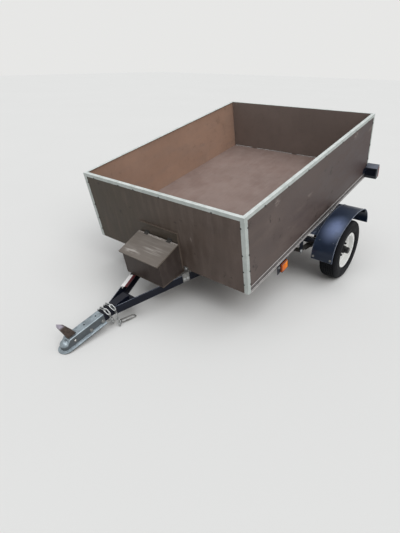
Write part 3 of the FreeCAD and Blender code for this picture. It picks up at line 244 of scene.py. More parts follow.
class Effects:
    """Shader node groups that several finishes share, each built once, that put out masks."""

    INPUTS: dict[str, dict[str, Any]] = {
        "edge_wear": {"Radius": 0.002, "Amount": 1.0, "Patch": 30.0, "Seed": 0.0},
        "dust": {"Amount": 0.5, "Scale": 6.0, "Seed": 0.0},
        "blotches": {"Stretch": (4.0, 4.0, 4.0), "Low": 0.42, "High": 0.66, "Seed": 0.0},
        "scratches": {"Stretch": (4.0, 160.0, 160.0), "Amount": 1.0, "Seed": 0.0},
        "scuff": {"Centre": (0.0, 0.0, 0.0), "Size": (0.1, 0.1, 0.1), "Grain": (20.0, 20.0, 20.0),
                  "Seed": 0.0},
        "ply_edge": {"Across": (0.0, 1.0, 0.0), "Ply": 0.0016, "Seed": 0.0},
        "rust": {"Amount": 0.5, "Scale": 18.0, "Seed": 0.0},
    }

    def __init__(self) -> None:
        """Build every group by the method of its name."""
        self.groups: dict[str, bpy.types.NodeTree] = {}
        for name, inputs in self.INPUTS.items():
            self.groups[name] = tree = bpy.data.node_groups.new(name, "ShaderNodeTree")
            for label, value in inputs.items():
                kind = "NodeSocketFloat" if isinstance(value, float) else "NodeSocketVector"
                tree.interface.new_socket(label, in_out="INPUT",
                                          socket_type=kind).default_value = value
            self.graph = Graph(tree)
            self.given = self.graph.add("NodeGroupInput").outputs
            getattr(self, name)()

    def put(self, **masks: Socket) -> None:
        """Give the group its outputs.

        Args:
            masks: Output name to the value it puts out.
        """
        for label in masks:
            self.graph.tree.interface.new_socket(label, in_out="OUTPUT",
                                                 socket_type="NodeSocketFloat")
        self.graph.add("NodeGroupOutput", masks)

    def edge_wear(self) -> None:
        """Mask of worn edges, broken up by noise."""
        g, given = self.graph, self.given
        rounded = g.out("ShaderNodeBevel", {"Radius": given["Radius"]}, samples=4)
        flat = g.add("ShaderNodeNewGeometry").outputs["Normal"]
        edge = g.ramp(g.vector("DOT_PRODUCT", rounded, flat), 0.995, 0.9)
        patch = g.ramp(g.noise(g.place(), given["Patch"], seed=given["Seed"]), 0.38, 0.62)
        self.put(Mask=g.times(edge, patch, given["Amount"]))

    def dust(self) -> None:
        """Mask of dust on what faces up, thicker in clouds."""
        g, given = self.graph, self.given
        clouds = g.ramp(g.noise(g.place(), given["Scale"], 5.0, given["Seed"]), 0.30, 0.70, 0.35)
        level = g.ramp(g.axis("Z", g.facing()), -0.2, 0.9, 0.08)
        self.put(Mask=g.times(level, clouds, given["Amount"]))

    def blotches(self) -> None:
        """Soft patches of a second colour, stretched by a vector of scales."""
        g, given = self.graph, self.given
        value = g.noise(g.place(given["Stretch"]), 1.0, 5.0, given["Seed"], 0.6)
        self.put(Mask=g.ramp(value, given["Low"], given["High"]))

    def scratches(self) -> None:
        """Thin scratch lines that run the way in which the stretch is least."""
        g, given = self.graph, self.given
        line = g.ramp(g.noise(g.place(given["Stretch"]), 1.0, 2.0, given["Seed"]), 0.66, 0.74)
        patch = g.ramp(g.noise(g.place(), 5.0, 2.0, given["Seed"]), 0.45, 0.62)
        self.put(Mask=g.times(line, patch, given["Amount"]))

    def scuff(self) -> None:
        """One rubbed patch: streaks that fade out from a centre."""
        g, given = self.graph, self.given
        away = g.vector("SUBTRACT", g.place(), given["Centre"])
        where = g.vector("MULTIPLY", away, given["Grain"])
        streak = g.ramp(g.noise(where, 1.0, 3.0, given["Seed"]), 0.44, 0.60)
        self.put(Mask=g.times(g.ramp(g.reach(away, given["Size"]), 1.0, 0.3), streak))

    def ply_edge(self) -> None:
        """Mask of a board's narrow faces, and the stripes of its plies there."""
        g, given = self.graph, self.given
        lean = g.math("ABSOLUTE", g.vector("DOT_PRODUCT", g.facing(), given["Across"]))
        depth = g.vector("DOT_PRODUCT", g.place(), given["Across"])
        wave = g.math("SINE", g.times(g.math("DIVIDE", depth, given["Ply"]), math.pi))
        rough = g.math("SUBTRACT", g.noise(g.place(), 45.0, 3.0, given["Seed"]), 0.5)
        stripes = g.ramp(g.math("ADD", wave, rough), -0.4, 0.4)
        self.put(Edge=g.ramp(lean, 0.75, 0.45), Stripes=stripes)

    def rust(self) -> None:
        """Mask of rust that breaks out in spots and spreads in patches."""
        g, given = self.graph, self.given
        spots = g.noise(g.place(), given["Scale"], 6.0, given["Seed"], 0.68)
        level = g.math("SUBTRACT", 0.78, g.times(given["Amount"], 0.4))
        self.put(Mask=g.ramp(spots, level, g.math("ADD", level, 0.10)))


EFFECTS = Effects()


class Coat:
    """A material under work: its graph, its shader and the colour laid so far."""

    def __init__(self, name: str, colour: Any, seed: float | None = None) -> None:
        """Start a material.

        Args:
            name: The material's name.
            colour: Its first colour.
            seed: Seed of its noise, by default the name's length.
        """
        self.material = bpy.data.materials.new(name)
        self.material.use_nodes = True
        self.graph = Graph(self.material.node_tree)
        self.shader = self.material.node_tree.nodes["Principled BSDF"]
        self.seed = float(len(name)) if seed is None else seed
        self.colour = colour

    def mask(self, effect: str, more: float = 0.0, **inputs: Any) -> Socket:
        """Return the first mask of a shared effect, seeded by the material's seed and more."""
        inputs = {name.capitalize(): value for name, value in inputs.items()}
        return self.graph.out("ShaderNodeGroup", {**inputs, "Seed": self.seed + more},
                              node_tree=EFFECTS.groups[effect])

    def blotch(self, stretch: Any, low: float, high: float, more: float = 0.0) -> Socket:
        """Return soft patches, at a stretch of one number or three."""
        stretch = stretch if isinstance(stretch, tuple) else (stretch,) * 3
        return self.mask("blotches", more, stretch=stretch, low=low, high=high)

    def lay(self, colour: Any, mask: Any, share: float | None = None) -> None:
        """Mix a further colour in by a mask, or by a share of it."""
        factor = mask if share is None else self.graph.times(mask, share)
        self.colour = self.graph.mix(factor, self.colour, colour)

    def shine(self, gloss: float, varnish: float = 0.0, roughness: float = 0.0) -> None:
        """Set how much the surface reflects, and the weight and roughness of any varnish on it."""
        self.graph.fill(self.shader, {"Specular IOR Level": gloss})
        if varnish:
            self.graph.fill(self.shader, {"Coat Weight": varnish, "Coat Roughness": roughness})

    def close(self, roughness: Any, height: Any, depth: float) -> Material:
        """Feed the shader what is laid.

        Args:
            roughness: Value or output that feeds Roughness.
            height: Output that feeds the bump's height.
            depth: How deep the bump is, in metres.

        Returns:
            The material.
        """
        bump = self.graph.out("ShaderNodeBump", {"Height": height, "Distance": depth,
                                                 "Strength": 1.0})
        self.graph.fill(self.shader, {"Base Color": self.colour, "Roughness": roughness,
                                      "Normal": bump})
        return self.material


class Scuff(NamedTuple):
    """One rubbed place on a board, in trailer coordinates."""

    centre: Point
    size: Point
    grain: Point
    strength: float = 0.7


@dataclass(frozen=True)
class Finish:
    """What every finish has."""

    name: str

    def make(self) -> Material:
        """Build the material."""
        raise NotImplementedError


@dataclass(frozen=True)
class PlyFilm(Finish):
    """Plywood with a brown film: blotched, streaked, scuffed, dusty, plies showing at its edges."""

    film: Colour
    stain: Colour
    worn: Colour
    dust: Colour
    across: Point
    grain: Point
    dustiness: float = 0.3
    scratching: float = 0.4
    edge_wear: float = 0.6
    roughness: float = 0.45
    ply_light: Colour = (0.30, 0.24, 0.17)
    ply_dark: Colour = (0.09, 0.065, 0.045)
    plies: Plies = Plies.EDGES
    scuffs: tuple[Scuff, ...] = ()
    drift: Colour | None = None
    drift_way: Drift = Drift.ACROSS
    knots: float = 0.0
    # Paler colour of inner faces: mostly painted light standing in for the sun on the inside,
    # partly paler wear.
    inside: Colour | None = None
    gloss: float = 0.25

    def make(self) -> Material:
        """Lay the film, its marks and its plies.

        Returns:
            The material.
        """
        coat = Coat(self.name, self.film)
        g = coat.graph
        stain: Any = self.stain
        inner: Any = 0.0
        if self.drift:
            coat.lay(self.drift, g.ramp(g.axis(self.drift_way.value), 0.9, -0.9))
        # Painted light: inner faces are laid in a paler colour, and their stain follows it, as if
        # sunlit.
        if self.inside:
            away = g.vector("DOT_PRODUCT", g.place((1.0, 1.0, 0.0)), g.facing())
            inner = g.ramp(away, -0.2, -0.4)
            coat.lay(self.inside, inner)
            stain = g.mix(inner, self.stain, tint(self.inside, 0.72))
        coat.shine(self.gloss)
        coat.lay(stain, coat.blotch(2.6, 0.35, 0.70), 0.5)
        coat.lay(stain, coat.blotch(11.0, 0.50, 0.78, 3), 0.45)
        streak = coat.blotch(self.grain, 0.40, 0.75, 5)
        coat.lay(self.worn, streak, 0.22)
        scratch = coat.mask("scratches", stretch=self.grain, amount=self.scratching)
        coat.lay(self.worn, scratch)
        if self.knots:
            bruise = coat.mask("rust", 8, amount=self.knots, scale=13.0)
            coat.lay(tint(self.stain, 0.30), g.times(bruise, g.ramp(inner, 0.0, 1.0, 0.75, 0.18)))
        for i, mark in enumerate(self.scuffs):
            rubbed = coat.mask("scuff", i, centre=mark.centre, size=mark.size, grain=mark.grain)
            coat.lay(self.worn, rubbed, mark.strength)
        dust = coat.mask("dust", amount=self.dustiness, scale=7.0)
        coat.lay(self.dust, dust)
        plies = g.add("ShaderNodeGroup", {"Across": self.across},
                      node_tree=EFFECTS.groups["ply_edge"]).outputs
        bare = plies["Edge"]
        if self.plies is Plies.FOOT:
            bare = g.ramp(g.axis("Z"), RAIL_FOOT + 0.011, RAIL_FOOT + 0.008)
        coat.lay(g.mix(plies["Stripes"], self.ply_dark, self.ply_light), bare, 0.8)
        coat.lay(self.worn, coat.mask("edge_wear", radius=0.003, amount=self.edge_wear, patch=22.0))
        rough = g.math("ADD", self.roughness, g.times(g.math("ADD", dust, streak), 0.25))
        grain = g.noise(g.place(tuple(v * 2.0 for v in self.grain)), 1.0, 3.0, coat.seed)
        pits = g.noise(g.place(), 420.0, 2.0, coat.seed)
        height = g.math("ADD", grain, g.times(pits, 0.35))
        return coat.close(rough, g.math("SUBTRACT", height, scratch), 0.0004)


@dataclass(frozen=True)
class BareMetal(Finish):
    """Zinc or aluminium: dulled in patches, scratched, grimy, brighter along its edges, its sides
    darkened by painted shade.
    """

    metal: Colour
    dull: Colour
    dirt: Colour
    dirtiness: float = 0.4
    spangle: float = 0.3
    rusting: float = 0.0
    roughness: float = 0.38
    metallic: float = 0.85
    # Share of painted shade on faces that turn away from the sky.
    side_dirt: float = 0.0
    brush: Point = (30.0, 300.0, 300.0)

    def make(self) -> Material:
        """Lay the metal, its grime, the painted shade on its sides and its rust.

        Returns:
            The material.
        """
        coat = Coat(self.name, self.metal)
        g = coat.graph
        cells = g.add("ShaderNodeTexVoronoi", {"Vector": g.place(), "Scale": 90.0}).outputs["Color"]
        coat.lay(self.dull, g.out("ShaderNodeSeparateColor", {0: cells}), self.spangle)
        coat.lay(self.dull, coat.blotch(16.0, 0.38, 0.66), 0.7)
        dirt_and_side_shade = g.times(coat.blotch(38.0, 0.52, 0.74, 2), self.dirtiness)
        # Painted shade: sides are darkened with the grime colour, as if they caught less light than
        # the tops; real grime blotches are mixed in by the maximum.
        side = g.ramp(g.axis("Z", g.facing()), 0.35, -0.05, 0.0, self.side_dirt)
        dirt_and_side_shade = g.math("MAXIMUM", dirt_and_side_shade, side)
        coat.lay(self.dirt, dirt_and_side_shade)
        rust = coat.mask("rust", amount=self.rusting, scale=40.0)
        coat.lay((0.16, 0.065, 0.025), rust)
        worn = coat.mask("edge_wear", radius=0.0015, amount=0.6, patch=60.0)
        coat.lay(tint(self.metal, 1.25), worn)
        cover = g.math("MAXIMUM", dirt_and_side_shade, rust)
        g.fill(coat.shader, {"Metallic": g.times(g.math("SUBTRACT", 1.0, cover), self.metallic)})
        brush = g.noise(g.place(self.brush), 1.0, 2.0, coat.seed)
        rough = g.times(g.math("ADD", cover, g.times(brush, 0.4)), 0.4)
        return coat.close(g.math("ADD", self.roughness, rough), g.math("ADD", brush, rust), 0.00025)


@dataclass(frozen=True)
class PaintedSteel(Finish):
    """Paint on steel: gloss or satin, chipped at its edges, dusty, rust breaking through."""

    paint: Colour
    faded: Colour
    chip: Colour
    dust: Colour = (0.30, 0.27, 0.23)
    dustiness: float = 0.25
    rusting: float = 0.15
    wear: float = 0.6
    roughness: float = 0.35
    varnish: float = 0.0
    gloss: float = 0.3
    # Painted highlight: a pale patch about the guards' crowns that stands in for the sky's
    # reflection there.
    bloom: Colour | None = None
    bloom_at: Point = (0.175, 0.895, 0.29)
    bloom_size: Point = (0.16, 0.095, 0.12)

    def make(self) -> Material:
        """Lay the paint, its painted highlight, dust and rust.

        Returns:
            The material.
        """
        coat = Coat(self.name, self.paint)
        g = coat.graph
        coat.shine(self.gloss, self.varnish, 0.12)
        faded = coat.blotch(7.0, 0.40, 0.68)
        coat.lay(self.faded, faded, 0.6)
        # Painted highlight: pale paint where the sky's highlight falls on the crown, mirrored to
        # both guards.
        if self.bloom:
            x, y, z = g.add("ShaderNodeSeparateXYZ", {0: g.place()}).outputs
            folded = g.out("ShaderNodeCombineXYZ", {0: x, 1: g.math("ABSOLUTE", y), 2: z})
            far = g.reach(g.vector("SUBTRACT", folded, self.bloom_at), self.bloom_size)
            highlight_mask = g.times(g.ramp(far, 1.15, 0.15), g.ramp(faded, 0.0, 1.0, 0.75))
            coat.lay(self.bloom, highlight_mask)
        dust = coat.mask("dust", amount=self.dustiness, scale=9.0)
        coat.lay(self.dust, dust)
        rust = coat.mask("rust", amount=self.rusting, scale=26.0)
        coat.lay((0.17, 0.06, 0.022), rust)
        coat.lay(self.chip, coat.mask("edge_wear", radius=0.0018, amount=self.wear, patch=45.0))
        peel = g.noise(g.place(), 260.0, 2.0, coat.seed)
        rough = g.math("ADD", self.roughness, g.times(g.math("ADD", dust, rust), 0.5))
        return coat.close(rough, g.math("SUBTRACT", g.times(peel, 0.15), rust), 0.0003)


@dataclass(frozen=True)
class Rusted(Finish):
    """Steel gone to brown rust all over, pale at the tip where hands rub it."""

    tip: Span = (0.322, 0.345)

    def make(self) -> Material:
        """Lay the rust and the rubbed places.

        Returns:
            The material.
        """
        coat = Coat(self.name, (0.030, 0.024, 0.021), 0.0)
        g = coat.graph
        coat.lay((0.085, 0.064, 0.054), coat.blotch(60.0, 0.35, 0.65, 4.0))
        fine = g.noise(g.place(), 320.0, 4.0, 2.0)
        coat.lay((0.14, 0.10, 0.08), fine, 0.4)
        rubbed = coat.mask("edge_wear", 2.0, radius=0.002, amount=0.7, patch=50.0)
        coat.lay((0.32, 0.30, 0.29), rubbed)
        coat.lay((0.50, 0.46, 0.55), g.ramp(g.axis("Z"), *self.tip, 0.0, 0.85))
        coat.shine(0.2)
        return coat.close(g.math("ADD", 0.6, g.times(fine, 0.3)), fine, 0.0008)


@dataclass(frozen=True)
class Rubber(Finish):
    """Tyre rubber, grey in clouds."""

    def make(self) -> Material:
        """Lay the rubber and its clouds.

        Returns:
            The material.
        """
        coat = Coat(self.name, (0.0035, 0.004, 0.006), 0.0)
        g = coat.graph
        cloud = coat.blotch(12.0, 0.38, 0.68, 9.0)
        coat.lay((0.013, 0.013, 0.015), cloud, 0.5)
        coat.shine(0.15)
        fine = g.noise(g.place(), 340.0, 3.0, 1.0)
        return coat.close(g.math("ADD", 0.62, g.times(cloud, 0.25)), fine, 0.0003)


@dataclass(frozen=True)
class Lens(Finish):
    """Coloured plastic over prisms; a reflector can be given a painted glow."""

    colour: Colour
    deep: Colour
    prism: Point
    glow: float = 0.0
    fade_x: Span | None = None

    def make(self) -> Material:
        """Lay the prisms' light and shade.

        Returns:
            The material.
        """
        coat = Coat(self.name, self.deep)
        g = coat.graph
        part = g.add("ShaderNodeSeparateXYZ", {0: g.vector("SINE", g.place(self.prism))}).outputs
        ribs = g.times(g.math("ADD", part[0], part[2]), 0.5)
        cloud = g.noise(g.place(), 30.0, 3.0, 2.0)
        bright = g.times(g.ramp(ribs, -0.8, 0.8), g.ramp(cloud, 0.3, 0.7, 0.5))
        if self.fade_x:
            bright = g.times(bright, g.ramp(g.axis("X"), *self.fade_x, 0.25))
        coat.lay(self.colour, bright)
        coat.shine(0.3, 0.25, 0.08)
        # Painted glow: emission of the lens colour, standing in for the light a reflector sends
        # back.
        if self.glow:
            g.fill(coat.shader, {"Emission Color": coat.colour, "Emission Strength": self.glow})
        return coat.close(g.ramp(cloud, 0.2, 0.8, 0.12, 0.3), ribs, 0.0006)


@dataclass(frozen=True)
class Moulded(Finish):
    """Black moulded plastic with a fine grain, bleached by the sun on top."""

    bleached: Colour
    colour: Colour = (0.016, 0.017, 0.020)

    def make(self) -> Material:
        """Lay the plastic and its bleached top.

        Returns:
            The material.
        """
        coat = Coat(self.name, self.colour, 0.0)
        g = coat.graph
        coat.lay(self.bleached, coat.mask("dust", 3.0, amount=0.9, scale=14.0))
        fine = g.noise(g.place(), 700.0, 2.0, 5.0)
        return coat.close(g.ramp(fine, 0.3, 0.7, 0.35, 0.5), fine, 0.0002)


@dataclass(frozen=True)
class MarkerPlate(Finish):
    """White reflective plate with a dark red band down its inner side."""

    middle: Point = (1.4002, -0.0922, RAIL_FOOT)
    turn: float = math.radians(20.0)
    width: float = 0.054

    def make(self) -> Material:
        """Lay the plate's white, its red band and its black edge.

        Returns:
            The material.
        """
        coat = Coat(self.name, (0.90, 0.89, 0.89))
        g = coat.graph
        side = (-math.sin(self.turn), math.cos(self.turn), 0.0)
        across = g.vector("DOT_PRODUCT", g.vector("SUBTRACT", g.place(), self.middle), side)
        cloud = g.noise(g.place(), 40.0, 4.0, 1.0)
        coat.lay((0.66, 0.64, 0.62), g.ramp(cloud, 0.45, 0.7, 0.0, 0.5))
        coat.lay((0.10, 0.008, 0.014), g.ramp(across, self.width * 0.02, self.width * 0.05))
        coat.lay((0.02, 0.012, 0.014), g.ramp(across, self.width * 0.34, self.width * 0.44))
        cells = g.out("ShaderNodeTexVoronoi", {"Vector": g.place(), "Scale": 380.0})
        return coat.close(g.ramp(cloud, 0.3, 0.7, 0.25, 0.45), cells, 0.0003)


BROWN_FILM = {"worn": (0.25, 0.205, 0.185), "dust": (0.16, 0.13, 0.115)}
NAVY = {"paint": (0.0030, 0.0046, 0.012), "faded": (0.006, 0.009, 0.020), "gloss": 0.2,
        "chip": (0.20, 0.22, 0.26)}

FINISHES: tuple[Finish, ...] = (
    # side_ply and front_ply take a paler inside colour that is mostly painted light.
    PlyFilm("side_ply", film=(0.098, 0.073, 0.066), stain=(0.068, 0.049, 0.044), **BROWN_FILM,
            across=LEFT, grain=(4.0, 60.0, 14.0), inside=(0.420, 0.270, 0.200),
            drift=(0.046, 0.029, 0.030), drift_way=Drift.ALONG, knots=0.50, scuffs=(
                Scuff((0.743, 0.742, 0.743), (0.05, 0.05, 0.035), (30.0, 30.0, 90.0)),
                Scuff((-0.486, 0.742, 0.754), (0.07, 0.05, 0.04), (30.0, 30.0, 90.0)))),
    PlyFilm("front_ply", film=(0.102, 0.073, 0.062), stain=(0.052, 0.038, 0.031), **BROWN_FILM,
            across=FORE, grain=(60.0, 22.0, 4.0), inside=(0.228, 0.188, 0.170),
            drift=(0.040, 0.032, 0.017), knots=0.44, scuffs=(
                Scuff((1.104, 0.30, 0.53), (0.05, 0.010, 0.03), (40.0, 90.0, 20.0)),)),
    PlyFilm("floor_ply", film=(0.235, 0.162, 0.140), stain=(0.165, 0.112, 0.097),
            worn=(0.48, 0.42, 0.38), dust=(0.34, 0.27, 0.245), across=UP,
            grain=(5.0, 40.0, 60.0), dustiness=0.55),
    PlyFilm("locker_ply", film=(0.043, 0.031, 0.027), stain=(0.029, 0.021, 0.018),
            worn=(0.20, 0.17, 0.15), dust=(0.08, 0.065, 0.055), across=UP,
            grain=(20.0, 20.0, 5.0), dustiness=0.1, plies=Plies.FOOT,
            ply_light=(0.12, 0.10, 0.085)),
    PlyFilm("back_ply", film=(0.052, 0.041, 0.030), stain=(0.036, 0.028, 0.020), **BROWN_FILM,
            across=FORE, grain=(60.0, 5.0, 20.0), ply_light=(0.15, 0.12, 0.10)),
    PlyFilm("lid_ply", film=(0.165, 0.142, 0.125), stain=(0.105, 0.088, 0.076),
            worn=(0.50, 0.47, 0.44), dust=(0.24, 0.215, 0.19), across=(0.23, 0.0, 0.973),
            grain=(46.0, 4.0, 46.0), dustiness=0.35, scratching=1.0, roughness=0.6,
            ply_light=(0.20, 0.175, 0.15), scuffs=(
                Scuff((1.31, -0.09, 0.425), (0.035, 0.10, 0.05), (60.0, 9.0, 60.0), 0.9),
                Scuff((1.24, 0.06, 0.445), (0.05, 0.12, 0.05), (110.0, 6.0, 60.0), 0.6),
                Scuff((1.134, 0.0, 0.475), (0.013, 0.34, 0.03), (120.0, 70.0, 60.0), 1.0))),
    PlyFilm("bearer_timber", film=(0.17, 0.12, 0.075), stain=(0.09, 0.065, 0.042),
            worn=(0.28, 0.22, 0.15), dust=(0.2, 0.17, 0.14), across=UP,
            grain=(60.0, 5.0, 60.0), dustiness=0.2, ply_light=(0.19, 0.14, 0.09),
            ply_dark=(0.15, 0.105, 0.07), roughness=0.75),
    # trim_aluminium, coupling_zinc and chain_zinc take painted shade on their sides.
    BareMetal("trim_aluminium", metal=(0.74, 0.78, 0.77), dull=(0.52, 0.57, 0.55),
              dirt=(0.27, 0.30, 0.28), dirtiness=0.45, spangle=0.12, metallic=0.3, roughness=0.45,
              side_dirt=0.55),
    BareMetal("strip_aluminium", metal=(0.26, 0.235, 0.235), dull=(0.15, 0.13, 0.128),
              dirt=(0.09, 0.075, 0.072), spangle=0.1, metallic=0.2, roughness=0.5),
    BareMetal("coupling_zinc", metal=(0.36, 0.42, 0.46), dull=(0.17, 0.20, 0.22),
              dirt=(0.040, 0.046, 0.050), dirtiness=0.55, rusting=0.12, metallic=0.75,
              roughness=0.32, side_dirt=0.85),
    BareMetal("zinc_steel", metal=(0.60, 0.62, 0.62), dull=(0.38, 0.39, 0.39),
              dirt=(0.12, 0.10, 0.08), dirtiness=0.45, rusting=0.2),
    BareMetal("tired_zinc", metal=(0.34, 0.34, 0.33), dull=(0.17, 0.165, 0.16),
              dirt=(0.05, 0.043, 0.038), dirtiness=0.6, rusting=0.2, roughness=0.45),
    # A lighter copy of the strip's aluminium for the ribs: painted highlight.
    BareMetal("rib_aluminium", metal=(0.66, 0.65, 0.64), dull=(0.40, 0.38, 0.37),
              dirt=(0.16, 0.14, 0.13), dirtiness=0.8, metallic=0.3),
    BareMetal("weathered_steel", metal=(0.05, 0.047, 0.044), dull=(0.03, 0.028, 0.026),
              dirt=(0.02, 0.017, 0.014), rusting=0.2, metallic=0.2, roughness=0.6),
    BareMetal("chain_zinc", metal=(0.70, 0.72, 0.72), dull=(0.32, 0.33, 0.33),
              dirt=(0.05, 0.047, 0.043), dirtiness=0.7, rusting=0.15, roughness=0.3,
              side_dirt=0.75),
    PaintedSteel("frame_paint", **NAVY, dustiness=0.05, wear=1.0, rusting=0.12),
    # guard_paint carries a painted highlight on the guards' crowns.
    PaintedSteel("guard_paint", paint=(0.006, 0.012, 0.029), faded=(0.010, 0.020, 0.042),
                 chip=(0.30, 0.34, 0.42), dust=(0.04, 0.07, 0.12), dustiness=0.2, rusting=0.05,
                 roughness=0.28, varnish=0.2, bloom=(0.17, 0.22, 0.38), gloss=0.25),
    # Painted highlight: pale paint on rolled edges, standing in for the light line they catch.
    PaintedSteel("guard_edge", paint=(0.05, 0.07, 0.12), faded=(0.10, 0.13, 0.19),
                 chip=(0.45, 0.48, 0.53), dustiness=0.2, wear=1.0),
    PaintedSteel("spring_paint", paint=(0.012, 0.011, 0.011), faded=(0.026, 0.022, 0.019),
                 chip=(0.10, 0.07, 0.05), rusting=0.35, roughness=0.55),
    PaintedSteel("hub_enamel", paint=(0.004, 0.0045, 0.006), faded=(0.008, 0.009, 0.011),
                 chip=(0.08, 0.08, 0.08), dustiness=0.03, rusting=0.03),
    PaintedSteel("rim_enamel", paint=(0.84, 0.85, 0.84), faded=(0.72, 0.72, 0.70),
                 chip=(0.36, 0.30, 0.25), dust=(0.46, 0.42, 0.37), dustiness=0.15, rusting=0.10,
                 wear=0.3),
    Rusted("latch_rust"),
    PaintedSteel("weld_metal", **NAVY, dustiness=0.1, wear=0.7, rusting=0.25),
    Rubber("tyre_rubber"),
    Moulded("lamp_plastic", (0.19, 0.21, 0.28)),
    Moulded("valve_rubber", (0.04, 0.04, 0.045)),
    Lens("red_lens", (0.42, 0.012, 0.014), (0.14, 0.004, 0.006), (0.0, 0.0, 500.0)),
    # The orange reflector glows a little: painted light.
    Lens("orange_lens", (1.0, 0.36, 0.01), (0.50, 0.085, 0.0), (420.0, 0.0, 420.0), 0.25,
         (0.63, 0.575)),
    MarkerPlate("marker_plate"),
)

WORN_BY: dict[str, str] = {
    "side_ply": "side_board_left side_board_right",
    "front_ply": "front_board rear_sill tailboard",
    "floor_ply": "floor_board",
    "bearer_timber": "floor_bearers",
    "locker_ply": "locker_box",
    "back_ply": "locker_back",
    "lid_ply": "locker_lid",
    "trim_aluminium": "rim_cap_front rim_cap_left rim_cap_right rim_cap_tail corner_angles",
    "strip_aluminium": "foot_strips",
    "zinc_steel": "tailboard_hinges tailboard_straps tailboard_bolts bolt_keepers axle_clamps "
                  "coupling_bolts",
    "weathered_steel": "locker_hinge_fixed locker_hinge_leaf",
    "tired_zinc": "leg_bracket chain_hook",
    "coupling_zinc": "coupling_body",
    "latch_rust": "coupling_latch",
    "chain_zinc": "safety_chain",
    "frame_paint": "cross_members side_rail_left side_rail_right drawbar_leg_left "
                   "drawbar_leg_right draw_tube axle_beam spring_hangers mudguard_stays "
                   "lamp_brackets reflector_brackets",
    "spring_paint": "leaf_spring_left leaf_spring_right",
    "guard_paint": "mudguard_left mudguard_right",
    "hub_enamel": "hub_left hub_right",
    "rim_enamel": "rim_left rim_right",
    "tyre_rubber": "tyre_left tyre_right",
    "marker_plate": "drawbar_marker",
    "lamp_plastic": "lamp_housings",
    "red_lens": "lamp_lenses",
    "orange_lens": "side_reflectors",
}
DRESS = {node: finish for finish, nodes in WORN_BY.items() for node in nodes.split()}


class Fixing(NamedTuple):
    """One screw or bolt head: where it sits and where it faces, in trailer coordinates."""

    at: Point
    facing: Point


@dataclass(frozen=True)
class HeadShape:
    """Sizes of a screw or bolt head."""

    radius: float
    height: float
    crown: float = 0.55
    washer: float = 0.0
    sides: int = 12


def hexagon(radius: float, height: float, crown: float, washer: float) -> HeadShape:
    """Return the shape of a hexagonal head on its washer."""
    return HeadShape(radius, height, crown, washer, 6)


def both(point: Point) -> list[Point]:
    """Return a point and its mirror image on the trailer's other side."""
    x, y, z = point
    return [(x, y, z), (x, -y, z)]


def pairs(fixings: Iterable[Fixing]) -> list[Fixing]:
    """Return fixings, each followed by its mirror image on the trailer's other side."""
    return [Fixing(at, facing) for f in fixings for at, facing in zip(both(f.at), both(f.facing))]


def mirrored(paths: list[Path]) -> list[Path]:
    """Return paths, then their mirror images on the trailer's other side."""
    return paths + [[(x, -y, z) for x, y, z in path] for path in paths]


def window(across: Span, up: Span) -> list[Span]:
    """Return a rectangle's corners, given its two ends across and up."""
    (a, b), (low, high) = across, up
    return [(a, low), (b, low), (b, high), (a, high)]


def linked(name: str, data: bpy.types.ID) -> Object:
    """Return a new object that is linked to the scene."""
    obj = bpy.data.objects.new(name, data)
    bpy.context.scene.collection.objects.link(obj)
    return obj


def new_mesh(name: str, points: Sequence[Any], edges: Sequence[Any] = (),
             faces: Sequence[Any] = ()) -> Mesh:
    """Return a new mesh of corners, edges and faces."""
    mesh = bpy.data.meshes.new(name)
    mesh.from_pydata(points, edges, faces)
    return mesh


def outward(mesh: Mesh, smooth: bool) -> None:
    """Turn a mesh's normals outward.

    Args:
        mesh: The mesh, closed.
        smooth: Whether its faces are shaded smooth.
    """
    shell = bmesh.new()
    shell.from_mesh(mesh)
    bmesh.ops.recalc_face_normals(shell, faces=shell.faces)
    for face in shell.faces:
        face.smooth = smooth
    shell.to_mesh(mesh)
    shell.free()


def path_mesh(name: str, paths: Sequence[Path], closed: bool = False) -> Mesh:
    """Make a mesh of edges only, along paths in trailer coordinates.

    Args:
        name: The mesh's name.
        paths: Runs of points; a run of one point has no edge.
        closed: Whether each path ends where it starts.

    Returns:
        The mesh, in the row frame.
    """
    points: list[Vector] = []
    edges: list[tuple[int, int]] = []
    for path in paths:
        first = len(points)
        points += [PARKED @ Vector(p) for p in path]
        edges += [(i, i + 1) for i in range(first, len(points) - 1)]
        if closed:
            edges.append((len(points) - 1, first))
    return new_mesh(name, points, edges)


class Repeat:
    """A Geometry Nodes tree that repeats one shape on its source."""

    NAME = ""
    INPUTS: dict[str, str] = {}

    def __init__(self) -> None:
        """Build the tree round its shape."""
        self.tree = bpy.data.node_groups.new(self.NAME, "GeometryNodeTree")
        interface = self.tree.interface
        for label, kind in {"Source": "Geometry", **self.INPUTS, "Finish": "Material"}.items():
            interface.new_socket(label, in_out="INPUT", socket_type=f"NodeSocket{kind}")
        interface.new_socket("Result", in_out="OUTPUT", socket_type="NodeSocketGeometry")
        self.graph = Graph(self.tree)
        self.given = self.graph.add("NodeGroupInput").outputs
        dressed = self.graph.out("GeometryNodeSetMaterial", {"Geometry": self.shape(),
                                                             "Material": self.given["Finish"]})
        self.graph.add("NodeGroupOutput", {0: dressed})

    def shape(self) -> Socket:
        """Return the geometry made from the tree's inputs."""
        raise NotImplementedError

    def grow(self, name: str, mesh: Mesh, values: dict[str, Any],
             place: Matrix | None = None) -> Object:
        """Run the tree on a mesh and keep what it makes as a plain mesh.

        Args:
            name: The new object's name.
            mesh: What the tree starts from.
            values: Input name to value.
            place: Takes the result to the row frame, if it isn't there yet.

        Returns:
            The object, without its modifier.
        """
        obj = linked(name, mesh)
        modifier = obj.modifiers.new("grow", "NODES")
        modifier.node_group = self.tree
        for socket in self.tree.interface.items_tree:
            if socket.name in values:
                modifier[socket.identifier] = values[socket.name]
        shaped = obj.evaluated_get(bpy.context.evaluated_depsgraph_get())
        made = bpy.data.meshes.new_from_object(shaped)
        obj.modifiers.remove(modifier)
        made.name = name
        if place:
            made.transform(place)
        outward(made, True)
        made.set_sharp_from_angle(angle=SHARP_ANGLE)
        obj.data = made
        return obj


